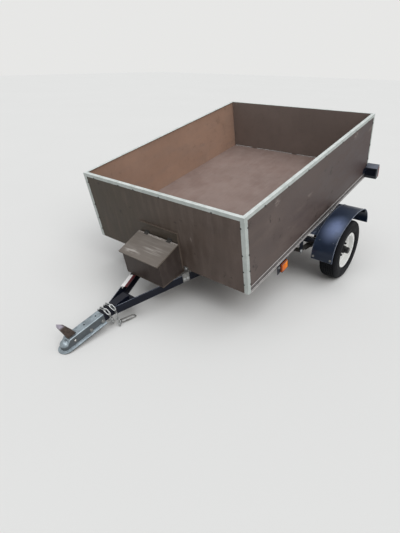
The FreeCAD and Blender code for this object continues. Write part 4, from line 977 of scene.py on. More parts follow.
class Heads(Repeat):
    """Screw and bolt heads set out on points."""

    NAME = "fixing_heads"
    INPUTS = {"Sides": "Int", "Radius": "Float", "Height": "Float", "Crown": "Float",
              "Washer": "Float", "Seed": "Int"}
    WASHER_SIDES, WASHER_TOP, WASHER_THICK = 16, 0.94, 0.3

    def shape(self) -> Socket:
        """Stand heads on washers, each turned at random about the way it faces.

        Returns:
            The heads.
        """
        g, given = self.graph, self.given
        head = g.out("GeometryNodeMeshCone", {
            "Vertices": given["Sides"], "Side Segments": 2, "Radius Bottom": given["Radius"],
            "Radius Top": g.times(given["Radius"], given["Crown"]), "Depth": given["Height"]})
        washer = g.out("GeometryNodeMeshCone", {
            "Vertices": self.WASHER_SIDES, "Radius Bottom": given["Washer"],
            "Radius Top": g.times(given["Washer"], self.WASHER_TOP),
            "Depth": g.times(given["Height"], self.WASHER_THICK)})
        facing = g.out("GeometryNodeInputNamedAttribute", {"Name": "facing"},
                       data_type="FLOAT_VECTOR")
        stand = g.out("FunctionNodeAlignRotationToVector", {"Vector": facing}, axis="Z")
        spin = g.out("FunctionNodeAxisAngleToRotation", {
            "Axis": (0.0, 0.0, 1.0), "Angle": g.random(0.0, math.tau, given["Seed"])})
        rotation = g.out("FunctionNodeRotateRotation", {0: stand, 1: spin}, rotation_space="LOCAL")
        return g.repeat(given["Source"], g.join(head, washer), Rotation=rotation)


class Bars(Repeat):
    """A round bar swept along paths."""

    NAME = "round_bead"
    INPUTS = {"Radius": "Float", "Sides": "Int"}

    def shape(self) -> Socket:
        """Sweep a circle along the paths and close its ends.

        Returns:
            The bars.
        """
        g, given = self.graph, self.given
        ring = g.out("GeometryNodeCurvePrimitiveCircle", {"Resolution": given["Sides"],
                                                          "Radius": given["Radius"]})
        curve = g.out("GeometryNodeMeshToCurve", {"Mesh": given["Source"]})
        return g.out("GeometryNodeCurveToMesh", {"Curve": curve, "Profile Curve": ring,
                                                 "Fill Caps": True})


class Welds(Repeat):
    """A weld: overlapping drops set along paths."""

    NAME = "weld_bead"
    INPUTS = {"Radius": "Float", "Step": "Float", "Seed": "Int"}

    def shape(self) -> Socket:
        """Set a drop at every step, each a little larger or smaller.

        Returns:
            The drops.
        """
        g, given = self.graph, self.given
        curve = g.out("GeometryNodeMeshToCurve", {"Mesh": given["Source"]})
        spots = g.add("GeometryNodeCurveToPoints", {"Curve": curve, "Length": given["Step"]},
                      mode="LENGTH").outputs
        drop = g.out("GeometryNodeMeshUVSphere", {"Segments": 7, "Rings": 5,
                                                  "Radius": given["Radius"]})
        return g.repeat(spots["Points"], drop, Scale=g.random(0.8, 1.2, given["Seed"]),
                        Rotation=spots["Rotation"])


class Treads(Repeat):
    """A tyre's carcass with rows of tread blocks round it."""

    NAME = "tread_blocks"
    INPUTS = {"Blocks": "Int", "Rows": "Int", "Row Step": "Float", "Radius": "Float",
              "Depth": "Float", "Width": "Float", "Length": "Float"}
    SLANT = (0.0, 0.0, 0.22)

    def shape(self) -> Socket:
        """Set blocks round the carcass, every other row half a step on.

        Returns:
            Carcass and blocks.
        """
        g, given = self.graph, self.given
        count, rows, deep = given["Blocks"], given["Rows"], given["Depth"]
        line = g.out("GeometryNodeMeshLine", {"Count": g.times(count, rows),
                                              "Offset": (0.0, 0.0, 0.0)})
        index = g.out("GeometryNodeInputIndex")
        row = g.math("FLOOR", g.math("DIVIDE", index, count))
        middle = g.times(g.math("SUBTRACT", rows, 1.0), 0.5)
        across = g.times(g.math("SUBTRACT", row, middle), given["Row Step"])
        points = g.out("GeometryNodeSetPosition", {"Geometry": line, "Position": g.xyz(Y=across)})
        phase = g.times(g.math("MODULO", row, 2.0), 0.5)
        angle = g.times(g.math("ADD", index, phase), g.math("DIVIDE", math.tau, count))
        size = g.xyz(X=given["Length"], Y=given["Width"], Z=deep)
        lift = g.math("SUBTRACT", given["Radius"], g.times(deep, 0.5))
        block = g.out("GeometryNodeTransform", {
            "Geometry": g.out("GeometryNodeMeshCube", {"Size": size}),
            "Translation": g.xyz(Z=lift), "Rotation": self.SLANT})
        return g.join(given["Source"], g.repeat(points, block, Rotation=g.xyz(Y=angle)))


class Workshop:
    """Makes finishes and trees once and dresses frame nodes."""

    HEAD_SEED = 7
    WELD = {"Radius": 0.0032, "Step": 0.0034, "Seed": 11}

    def __init__(self) -> None:
        """Make every finish and every tree."""
        self.materials = {finish.name: finish.make() for finish in FINISHES}
        self.head_tree, self.bar_tree, self.weld_tree, self.tread_tree = (
            Heads(), Bars(), Welds(), Treads())

    def dress(self, nodes: dict[str, Object]) -> None:
        """Give every node of the frame its finish.

        Args:
            nodes: Node name to object.
        """
        for name, obj in nodes.items():
            obj.data.materials.clear()
            obj.data.materials.append(self.materials[DRESS[name]])


@dataclass
class Assembly:
    """A sub-assembly: the sizes of its pieces, and ways to make them and hang them on bodies."""

    shop: Workshop

    def build(self) -> None:
        """Make every piece."""
        raise NotImplementedError

    def carry(self, obj: Object, slot: str, body: Body = Body.TRAILER) -> None:
        """Hang a finished piece on a body and report it."""
        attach(obj, body.value)
        log.info("%s: %d faces on %s", obj.name, len(obj.data.polygons), body.value)

    def heads(self, name: str, fixings: Sequence[Fixing], shape: HeadShape, finish: str,
              slot: str = "zinc_steel", body: Body = Body.TRAILER) -> None:
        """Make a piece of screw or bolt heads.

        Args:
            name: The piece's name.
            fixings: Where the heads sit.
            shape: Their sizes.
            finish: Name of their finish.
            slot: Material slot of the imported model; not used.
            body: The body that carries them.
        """
        mesh = path_mesh(name, [[f.at] for f in fixings])
        turned = PARKED.to_3x3()
        facing = mesh.attributes.new("facing", "FLOAT_VECTOR", "POINT")
        facing.data.foreach_set("vector", [c for f in fixings for c in turned @ Vector(f.facing)])
        values = {label.capitalize(): value for label, value in asdict(shape).items()}
        values |= {"Seed": self.shop.HEAD_SEED, "Finish": self.shop.materials[finish]}
        self.carry(self.shop.head_tree.grow(name, mesh, values), slot, body)

    def bars(self, name: str, paths: Sequence[Path], radius: float, finish: str, slot: str,
             body: Body = Body.TRAILER, closed: bool = False, sides: int = 8) -> None:
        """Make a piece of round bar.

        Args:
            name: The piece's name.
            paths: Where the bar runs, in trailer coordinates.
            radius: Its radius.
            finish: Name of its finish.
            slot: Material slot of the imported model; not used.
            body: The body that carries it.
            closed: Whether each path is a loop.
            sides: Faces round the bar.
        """
        values = {"Radius": radius, "Sides": sides, "Finish": self.shop.materials[finish]}
        mesh = path_mesh(name, paths, closed)
        self.carry(self.shop.bar_tree.grow(name, mesh, values), slot, body)

    def weld(self, name: str, paths: Sequence[Path]) -> None:
        """Weld along paths in trailer coordinates."""
        values = {**self.shop.WELD, "Finish": self.shop.materials["weld_metal"]}
        self.carry(self.shop.weld_tree.grow(name, path_mesh(name, paths), values), "frame_paint")

    def closed_piece(self, name: str, points: Sequence[Any], faces: Sequence[Sequence[int]],
                     finish: str) -> Object:
        """Make one closed piece of flat faces, its normals outward.

        Args:
            name: The new object's name.
            points: Corners, in trailer coordinates.
            faces: Corner numbers of each face.
            finish: Name of its finish.

        Returns:
            The object.
        """
        mesh = new_mesh(name, [PARKED @ Vector(p) for p in points], faces=faces)
        outward(mesh, False)
        mesh.materials.append(self.shop.materials[finish])
        return linked(name, mesh)

    def sections(self, name: str, runs: Iterable[tuple[Path, Point]], finish: str) -> Object:
        """Make straight lengths of bar or sheet as one piece, each closed at both ends.

        Args:
            name: The new object's name.
            runs: For each length, the corners of its section and the way it runs.
            finish: Name of its finish.

        Returns:
            The object.
        """
        points: list[Vector] = []
        faces: list[Sequence[int]] = []
        for ring, way in runs:
            first, count = len(points), len(ring)
            points += [Vector(p) for p in ring] + [Vector(p) + Vector(way) for p in ring]
            near = list(range(first, first + count))
            far = [i + count for i in near]
            faces += [near, far, *zip(near, near[1:] + near[:1], far[1:] + far[:1], far)]
        return self.closed_piece(name, points, faces, finish)


@dataclass
class LoadBed(Assembly):
    """The load bed's corner angles, foot strips and screws."""

    skin: float = 0.002
    face: float = BED_HALF + skin
    nose: float = BED_FRONT + skin
    inner: float = BED_HALF - WALL
    cap_edge: float = 0.789
    cap_depth: float = 0.025
    cap_screws: Row = (-0.620, -0.338, -0.181, 0.067, 0.506)
    side_screws: Row = (-0.72, -0.47, -0.21, 0.08, 0.34, 0.61, 0.89)
    angle_heights: Row = (0.740, 0.549, 0.426, 0.325)
    angle_width: float = 0.030
    rear_foot: float = BED_FOOT + 0.034
    plain_width: float = 0.042
    strip: float = BED_REAR + 0.018
    foot_joint: float = 0.440
    joint_gap: float = 0.004
    band: Span = (0.286, 0.299)
    rib_heights: Row = (0.2508, 0.2632, 0.2988)
    rib: float = 0.0016
    groove: float = rib * 1.5
    groove_heights: Row = (0.2740, 0.2860)
    foot_screws: Row = (-0.83, -0.60, -0.36, -0.12, 0.12, 0.40, 0.47, 0.74, 1.02)
    foot_screw_z: float = 0.2800
    front_screw: Point = (BED_FRONT, 0.287, 0.534)
    floor_screws: Row = (-0.70, -0.35, 0.0, 0.35, 0.70, 1.0)
    floor_screw_z: float = FLOOR_TOP - 0.006
    screw: HeadShape = HeadShape(0.0066, 0.0030)
    foot_screw: HeadShape = HeadShape(0.0040, 0.0020)
    board_screw: HeadShape = HeadShape(0.0034, 0.0010)

    def corners(self) -> None:
        """Make the angles on the bed's corners in place of the plain ones."""
        face, nose, inner, strip, low = self.face, self.nose, self.inner, self.strip, self.rear_foot
        end, edge, back = nose - self.angle_width, face - self.angle_width, BED_REAR - self.skin
        top = BED_TOP + self.skin
        front = ((BED_FRONT, BED_HALF), (end, BED_HALF), (end, face), (nose, face), (nose, edge),
                 (BED_FRONT, edge))
        rear = ((BED_REAR, BED_HALF), (strip, BED_HALF), (strip, face), (back, face), (back, inner),
                (BED_REAR, inner))
        tab = window((BED_REAR, strip), (inner, BED_HALF))
        lengths = ((front, BED_FOOT, top - self.cap_depth - BED_FOOT), (rear, low, top - low),
                   (tab, BED_TOP, self.skin))
        runs = [([(x, s * y, z) for x, y in ring], (0.0, 0.0, rise))
                for s in SIDES for ring, z, rise in lengths]
        angles = self.sections("corner_trim", runs, "trim_aluminium")
        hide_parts("corner_angles")
        self.carry(angles, "trim_aluminium")

    def screws(self) -> None:
        """Set the screws that pinch the edges of caps and corner angles."""
        fixings = [Fixing((self.nose, y, self.cap_edge), FORE) for y in self.cap_screws]
        fixings += pairs(Fixing((x, self.face, self.cap_edge), LEFT) for x in self.side_screws)
        edge = self.angle_width - self.skin
        for z in self.angle_heights:
            fixings += pairs([Fixing((self.nose, BED_HALF - edge, z), FORE),
                              Fixing((BED_FRONT - edge, self.face, z), LEFT),
                              Fixing((self.strip, self.face, z), LEFT)])
        self.heads("trim_screws", fixings, self.screw, "weathered_steel")

    def foot_strips(self) -> None:
        """Widen the foot strips with a band, run pale rib bars and dark groove bars as painted
        highlight and shade, set their screws.
        """
        end, low, (start, high) = self.foot_joint, BED_FOOT - self.skin, self.band
        front, plain = self.nose - self.angle_width, self.nose - self.plain_width
        joint = end + self.joint_gap
        bands = (window((self.strip, end), self.band),
                 ((joint, start), (plain, start), (plain, low), (front, low), (front, high),
                  (joint, high)))
        runs = [([(x, s * BED_HALF, z) for x, z in ring], (0.0, s * self.skin, 0.0))
                for ring in bands for s in SIDES]
        self.carry(self.sections("foot_strip_bands", runs, "strip_aluminium"), "trim_aluminium")
        # Painted highlight and shade: the ribs take a paler aluminium than the strip, the grooves a
        # dark steel.
        for name, heights, radius, finish in (
                ("foot_strip_ribs", self.rib_heights, self.rib, "rib_aluminium"),
                ("foot_strip_grooves", self.groove_heights, self.groove, "weathered_steel")):
            paths = [[(x, s * self.face, z) for x in line]
                     for line in ((BED_REAR, end), (joint, front)) for s in SIDES for z in heights]
            self.bars(name, paths, radius, finish, "trim_aluminium", sides=10)
        fixings = pairs(Fixing((x, self.face, self.foot_screw_z), LEFT) for x in self.foot_screws)
        self.heads("foot_strip_screws", fixings, self.foot_screw, "zinc_steel")

    def board_screws(self) -> None:
        """Set the screws that hold the side boards to the front board and the floor."""
        fixings = pairs([Fixing(self.front_screw, FORE), *(
            Fixing((x, BED_HALF, self.floor_screw_z), LEFT) for x in self.floor_screws)])
        self.heads("board_screws", fixings, self.board_screw, "weathered_steel")

    def build(self) -> None:
        """Make every piece of the load bed."""
        self.corners()
        self.screws()
        self.foot_strips()
        self.board_screws()


@dataclass
class Tailboard(Assembly):
    """Screws of the tailboard's hinges, straps and barrel bolts, and the bolts' knobs."""

    face: float = BED_REAR - 0.003
    hinges: Row = (-0.480, 0.0, 0.480)
    strap_heights: Row = (0.385, 0.425, 0.465, 0.490)
    leaf_heights: Row = (0.278, 0.326)
    leaf_half: float = 0.021
    barrel_z: float = 0.760
    barrel_half: float = 0.011
    barrel_y: Span = (0.663, 0.709)
    knob_y: float = 0.678
    screw: HeadShape = HeadShape(0.0042, 0.0018)
    knob: HeadShape = HeadShape(0.0045, 0.011, 0.9)

    def build(self) -> None:
        """Set screws and knobs on the tailboard and on the sill below it."""
        sill = [Fixing((self.face, y + s * self.leaf_half, z), AFT)
                for y in self.hinges for s in SIDES for z in self.leaf_heights]
        self.heads("sill_hinge_screws", sill, self.screw, "zinc_steel")
        moving = [Fixing((self.face, y, z), AFT) for y in self.hinges for z in self.strap_heights]
        moving += pairs(Fixing((self.face, y, self.barrel_z + s * self.barrel_half), AFT)
                        for y in self.barrel_y for s in SIDES)
        self.heads("tailboard_screws", moving, self.screw, "zinc_steel", body=Body.TAILBOARD)
        knobs = pairs([Fixing((self.face - self.knob.height, self.knob_y, self.barrel_z), AFT)])
        self.heads("bolt_knobs", knobs, self.knob, "zinc_steel", body=Body.TAILBOARD)


@dataclass
class Locker(Assembly):
    """Screws of the locker's hinges and corners."""

    half: float = 0.186
    front: float = BED_FRONT + 0.220
    hinge_x: float = BED_FRONT + 0.0185
    hinge_z: float = RAIL_FOOT + 0.253
    slope: float = math.radians(13.3)
    hinge_y: float = 0.1116
    screw_step: float = 0.013
    lid_screw: Span = (0.014, 0.0015)
    back_screw: Span = (BED_FRONT + 0.0135, hinge_z + 0.011)
    front_corner: Span = (front, half - 0.006)
    side_corner: Span = (BED_FRONT + 0.030, half)
    corner_heights: Row = (0.243, 0.300, 0.360, 0.405)
    screw: HeadShape = HeadShape(0.0030, 0.0012)

    def on_lid(self, along: float, y: float, above: float) -> Point:
        """Return a point given along the lid from its hinge, across it, and above its top."""
        c, s = math.cos(self.slope), math.sin(self.slope)
        return (self.hinge_x + along * c + above * s, y, self.hinge_z - along * s + above * c)

    def build(self) -> None:
        """Set the screws."""
        up = (math.sin(self.slope), 0.0, math.cos(self.slope))
        spots = [s * self.hinge_y + t * self.screw_step for s in SIDES for t in (-1, 0, 1)]
        (along, above), (back_x, back_z) = self.lid_screw, self.back_screw
        lid = [Fixing(self.on_lid(along, y, above), up) for y in spots]
        fixed = [Fixing((back_x, y, back_z), FORE) for y in spots]
        corners = pairs(f for z in self.corner_heights for f in (
            Fixing((*self.front_corner, z), FORE), Fixing((*self.side_corner, z), LEFT)))
        for name, fixings, body in (("lid_hinge_screws", lid, Body.LOCKER_LID),
                                    ("back_hinge_screws", fixed, Body.TRAILER),
                                    ("locker_screws", corners, Body.TRAILER)):
            self.heads(name, fixings, self.screw, "weathered_steel", body=body)


@dataclass
class Drawbar(Assembly):
    """Bolt heads, rivets, painted highlights on the legs' top edges, and welds of drawbar and
    coupling.
    """

    apex: float = 1.650
    tube_half: float = 0.030
    tube_foot: float = 0.168
    leg_angle: float = math.radians(20.0)
    sleeve_rear: float = 1.737
    sleeve_side: float = 0.0343
    bolt_z: float = 0.186
    cross_bolts: Row = (0.018, 0.114)
    latch_pin: Point = (1.971, sleeve_side + 0.003, 0.20265)
    bracket: float = 0.003
    bracket_bolts: Row = (0.014, 0.040)
    bracket_z: float = 0.190
    bed_bolt: Span = (0.020, 0.256)
    rivets: Row = (-0.316, -0.196)
    rivet_out: float = -0.010
    # A thin pale bar along each leg's top outer edge: a painted highlight.
    edge: float = 0.0014
    edge_start: float = -0.012
    edge_sink: float = -0.0006
    bead: float = 0.001
    nose_weld: Span = (tube_foot + 0.004, RAIL_FOOT - 0.002)
    foot_weld: Span = (apex - 0.118, apex - 0.012)
    foot_weld_z: float = tube_foot + 0.002
    hex_head: HeadShape = hexagon(0.0115, 0.0075, 0.93, 0.0135)
    pin_head: HeadShape = HeadShape(0.0088, 0.0034, 0.6, sides=14)
    bracket_head: HeadShape = hexagon(0.0080, 0.0055, 0.92, 0.0105)
    rivet: HeadShape = HeadShape(0.0036, 0.0016, 0.5)

    def on_leg(self, along: float, out: float, z: float) -> Point:
        """Return a point given along the left leg from the apex, out from its side, and up."""
        c, s = math.cos(self.leg_angle), math.sin(self.leg_angle)
        return (self.apex + along * c + out * s, self.tube_half - along * s + out * c, z)

    def bolts(self, start: float) -> None:
        """Put heads on the coupling's cross bolts and pin, and on the leg's bracket.

        Args:
            start: Where the leg starts at the bed, along it from the apex.
        """
        heads = pairs(Fixing((self.sleeve_rear + x, self.sleeve_side, self.bolt_z), LEFT)
                      for x in self.cross_bolts)
        self.heads("coupling_bolt_heads", heads, self.hex_head, "tired_zinc")
        self.heads("latch_pin_heads", pairs([Fixing(self.latch_pin, LEFT)]), self.pin_head,
                   "chain_zinc")
        side = (math.sin(self.leg_angle), math.cos(self.leg_angle), 0.0)
        bracket = [Fixing(self.on_leg(start + x, self.bracket, self.bracket_z), side)
                   for x in self.bracket_bolts]
        y = self.tube_half + (self.apex - BED_FRONT) * math.tan(self.leg_angle)
        inset, z = self.bed_bolt
        bracket.append(Fixing((BED_FRONT + self.bracket, y - inset, z), FORE))
        self.heads("leg_bracket_bolts", bracket, self.bracket_head, "zinc_steel")

    def marker_rivets(self) -> None:
        """Rivet the marker plate to the right leg."""
        top = RAIL_FOOT + self.bracket
        spots = [self.on_leg(along, self.rivet_out, top) for along in self.rivets]
        self.heads("marker_rivets", [Fixing((x, -y, z), UP) for x, y, z in spots], self.rivet,
                   "zinc_steel")

    def welds(self) -> None:
        """Weld legs to tube and the plate under them."""
        x, y = self.apex + self.bead, self.tube_half + self.bead
        self.weld("drawbar_welds", mirrored([
            [(x, y, z) for z in self.nose_weld],
            [(along, y, self.foot_weld_z) for along in self.foot_weld]]))

    def build(self) -> None:
        """Make every piece of the drawbar, the painted highlights along its legs' top edges first.
        """
        end = (BED_FRONT - self.apex) / math.cos(self.leg_angle)
        sink = self.edge_sink
        edge = [self.on_leg(along, sink, RAIL_FOOT + sink) for along in (self.edge_start, end)]
        self.bars("leg_edges", mirrored([edge]), self.edge, "guard_edge", "frame_paint")
        self.bolts(end)
        self.marker_rivets()
        self.welds()


@dataclass
class RunningGear(Assembly):
    """Nuts, spring clips and welds under the bed."""

    spring_y: float = 0.680
    spring_half: float = 0.325
    spring_radius: float = 0.7695
    leaf_z: float = 0.0375
    eye_z: float = 0.1095
    cheek: float = 0.0285
    clip_x: float = 0.130
    clip_half: float = 0.0255
    clip_bar: float = 0.0026
    clip_reach: Span = (-0.0195, 0.0055)
    u_bolt: Span = (0.0255, 0.028)
    plate_foot: float = -0.026
    weld_half: float = 0.032
    weld_z: float = RAIL_FOOT - 0.001
    nut: HeadShape = hexagon(0.0085, 0.007, 0.95, 0.0100)
    eye_bolt: HeadShape = hexagon(0.0125, 0.0090, 0.93, 0.0150)

    def build(self) -> None:
        """Make nuts, clips and welds."""
        middle, (bolt_x, bolt_y) = self.spring_y, self.u_bolt
        nuts = pairs(Fixing((t * bolt_x, middle + s * bolt_y, self.plate_foot), DOWN)
                     for t in SIDES for s in SIDES)
        self.heads("axle_clamp_nuts", nuts, self.nut, "zinc_steel")
        eyes = pairs(Fixing((t * self.spring_half, middle + s * self.cheek, self.eye_z), (0, s, 0))
                     for t in SIDES for s in SIDES)
        self.heads("spring_eye_bolts", eyes, self.eye_bolt, "zinc_steel")
        rise = self.leaf_z + self.spring_radius - math.sqrt(
            self.spring_radius ** 2 - self.clip_x ** 2)
        low, high = self.clip_reach
        clip = window((middle - self.clip_half, middle + self.clip_half), (rise + low, rise + high))
        clips = [[(t * self.clip_x, s * y, z) for y, z in clip] for t in SIDES for s in SIDES]
        self.bars("spring_clips", clips, self.clip_bar, "spring_paint", "spring_steel",
                  closed=True)
        self.weld("hanger_welds", [
            [(end * self.spring_half + way * self.weld_half, s * (middle + t * self.cheek),
              self.weld_z) for way in SIDES]
            for end in SIDES for s in SIDES for t in SIDES])


@dataclass
class Wheels(Assembly):
    """Tyres with their tread, rolled rim edges and valves."""

    tread: tuple[tuple[str, float], ...] = (
        ("Blocks", 62), ("Rows", 5), ("Row Step", 0.0186), ("Radius", 0.2427), ("Depth", 0.008),
        ("Width", 0.0150), ("Length", 0.0218))
    rim_edge: float = 0.145
    rim_half: float = 0.057
    rim_bead: float = 0.0024
    rim_steps: int = 72
    valve_turn: float = math.radians(48.0)
    valve_bar: float = 0.0042
    valve: tuple[Span, ...] = ((0.104, 0.014), (0.100, 0.034), (0.098, 0.047))
    profile: tuple[Span, ...] = (
        (0.0000, 0.2362), (0.0475, 0.2360), (0.0490, 0.2412), (0.0535, 0.2404), (0.0578, 0.2385),
        (0.0625, 0.2345), (0.0660, 0.2285), (0.0688, 0.2195), (0.0704, 0.2120), (0.0722, 0.2105),
        (0.0724, 0.1990), (0.0725, 0.1900), (0.0718, 0.1790), (0.0703, 0.1700), (0.0712, 0.1686),
        (0.0700, 0.1640), (0.0672, 0.1560), (0.0620, 0.1512), (0.0555, 0.1490), (0.0537, 0.1470),
        (0.0537, 0.1273), (0.0400, 0.1273), (0.0440, 0.1545), (0.0620, 0.1900), (0.0535, 0.2270),
        (0.0000, 0.2270))
    steps: int = 128

    def carcass(self, name: str) -> Mesh:
        """Revolve the tyre's section round the axle.

        Args:
            name: The mesh's name.

        Returns:
            A closed mesh centred on the wheel.
        """
        ring = [*self.profile, *((-y, r) for y, r in reversed(self.profile[1:-1]))]
        points, faces = [], []
        count = len(ring)
        for k in range(self.steps):
            a = math.tau * k / self.steps
            points += [(r * math.sin(a), y, r * math.cos(a)) for y, r in ring]
            here, there = k * count, (k + 1) % self.steps * count
            faces += [(here + i, here + (i + 1) % count, there + (i + 1) % count, there + i)
                      for i in range(count)]
        return new_mesh(name, points, faces=faces)

    def wheel(self, side: str, y: float, body: Body) -> None:
        """Make a tyre in place of the plain one, roll the rim's edges and fit its valve.

        Args:
            side: Side of the wheel, for the pieces' names.
            y: The wheel's middle.
            body: The body that the pieces turn with.
        """
        name = f"tyre_{side}"
        values = {**dict(self.tread), "Finish": self.shop.materials["tyre_rubber"]}
        place = PARKED @ Matrix.Translation((0.0, y, 0.0))
        obj = self.shop.tread_tree.grow(f"{name}_treaded", self.carcass(name), values, place)
        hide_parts(name)
        self.carry(obj, "tyre_rubber", body)
        turns = [math.tau * k / self.rim_steps for k in range(self.rim_steps)]
        loops = [[(self.rim_edge * math.sin(a), y + s * self.rim_half, self.rim_edge * math.cos(a))
                  for a in turns] for s in SIDES]
        self.bars(f"rim_edges_{side}", loops, self.rim_bead, "rim_enamel", "rim_white", body, True)
        a, out = self.valve_turn, math.copysign(1.0, y)
        stem = [(r * math.sin(a), y + out * reach, r * math.cos(a)) for r, reach in self.valve]
        self.bars(f"valve_{side}", [stem], self.valve_bar, "valve_rubber", "tyre_rubber", body)

    def build(self) -> None:
        """Make both wheels' pieces."""
        self.wheel("left", WHEEL_Y, Body.WHEEL_LEFT)
        self.wheel("right", -WHEEL_Y, Body.WHEEL_RIGHT)


@dataclass
class Mudguards(Assembly):
    """Rolled edges, flanges and bolts of the mudguards; the outer edges' pale finish is a painted
    highlight, and the flanges are partly painted shade.
    """

    crown: float = 0.620
    end: float = 0.200
    angle: float = math.radians(20.0)
    top: float = 0.314
    inner_y: float = 0.800
    outer_y: float = 0.966
    bead: float = 0.0032
    inset: float = 0.001
    outline_step: int = 4
    stay_x: float = 0.286
    stay_inset: float = 0.030
    corner_turn: float = math.radians(84.0)
    corner_y: Span = (inner_y + 0.014, outer_y - 0.016)
    sheet: float = 0.002
    flange_y: float = 0.7425
    flange_turn: float = math.radians(37.0)
    flange_foot: float = 0.2465
    flange_steps: int = 24
    bolt: HeadShape = hexagon(0.0070, 0.0045, 0.92, 0.0100)
    small_bolt: HeadShape = HeadShape(0.0060, 0.0028, 0.5)

    def skin(self, turn: float) -> Span:
        """Return x and z of the guard's side view at a turn from its top.

        Args:
            turn: Outward lean there, positive to the front.

        Returns:
            x and z, in trailer coordinates.
        """
        lean, base = abs(turn), self.top - self.crown
        if lean <= self.angle:
            return self.crown * math.sin(turn), base + self.crown * math.cos(turn)
        x = (self.crown - self.end) * math.sin(self.angle)
        z = base + (self.crown - self.end) * math.cos(self.angle)
        return (math.copysign(1.0, turn) * (x + self.end * math.sin(lean)),
                z + self.end * math.cos(lean))

    def turn_at(self, x: float) -> float:
        """Return the turn at which the guard's skin is over an x."""
        base = (self.crown - self.end) * math.sin(self.angle)
        return math.copysign(math.asin((abs(x) - base) / self.end), x)

    def outline(self, y: float) -> list[Point]:
        """Return the guard's edge at a distance from the trailer's middle."""
        turns = map(math.radians, range(-90, 91, self.outline_step))
        return [(x, y, z) for x, z in map(self.skin, turns)]

    def bolted(self, turn: float, *across: float) -> list[Fixing]:
        """Return bolts through the guard at a turn, at distances from the trailer's middle."""
        x, z = self.skin(turn)
        return [Fixing((x, y, z), (math.sin(turn), 0.0, math.cos(turn))) for y in across]

    def flange(self, side: str, sign: int) -> None:
        """Close the gap between a guard's crown and the bed with a dark sheet: partly the guard's
        mounting sheet, partly painted shade where only shadow falls.

        Args:
            side: Side of the trailer, for the piece's name.
            sign: 1 on the left, -1 on the right.
        """
        points: list[Point] = []
        for k in range(self.flange_steps + 1):
            x, z = self.skin(self.flange_turn * (2 * k / self.flange_steps - 1))
            foot = min(z, self.flange_foot)
            points += [(x, sign * y, height) for y, height in (
                (self.flange_y, foot), (self.inner_y, z), (self.inner_y, z - self.sheet),
                (self.flange_y, foot - self.sheet))]
        last = 4 * self.flange_steps
        faces = [(k + i, k + (i + 1) % 4, k + 4 + (i + 1) % 4, k + 4 + i)
                 for k in range(0, last, 4) for i in range(4)]
        faces += [(3, 2, 1, 0), (last, last + 1, last + 2, last + 3)]
        self.carry(self.closed_piece(f"guard_shade_flange_{side}", points, faces, "guard_paint"),
                   "guard_paint")

    def build(self) -> None:
        """Roll the edges, fit the flanges that partly stand in for shade, and bolt the guards to
        their stays.
        """
        for side, sign in (("left", 1), ("right", -1)):
            outer = self.outline(sign * (self.outer_y - self.inset))
            inner = self.outline(sign * (self.inner_y + self.inset))
            # The outer bead's pale finish is a painted highlight along the rolled edge.
            for name, path, finish in (("edges", [outer[0], *inner, outer[-1]], "guard_paint"),
                                       ("outer_edges", outer, "guard_edge")):
                self.bars(f"guard_{name}_{side}", [path], self.bead, finish, "guard_paint")
            self.flange(side, sign)
        across = self.inner_y + self.stay_inset, self.outer_y - self.stay_inset
        stays = [f for s in SIDES for f in self.bolted(self.turn_at(s * self.stay_x), *across)]
        self.heads("guard_stay_bolts", pairs(stays), self.small_bolt, "guard_paint", "guard_paint")
        corners = self.bolted(self.corner_turn, *self.corner_y)
        self.heads("guard_corner_bolts", pairs(corners), self.bolt, "tired_zinc")


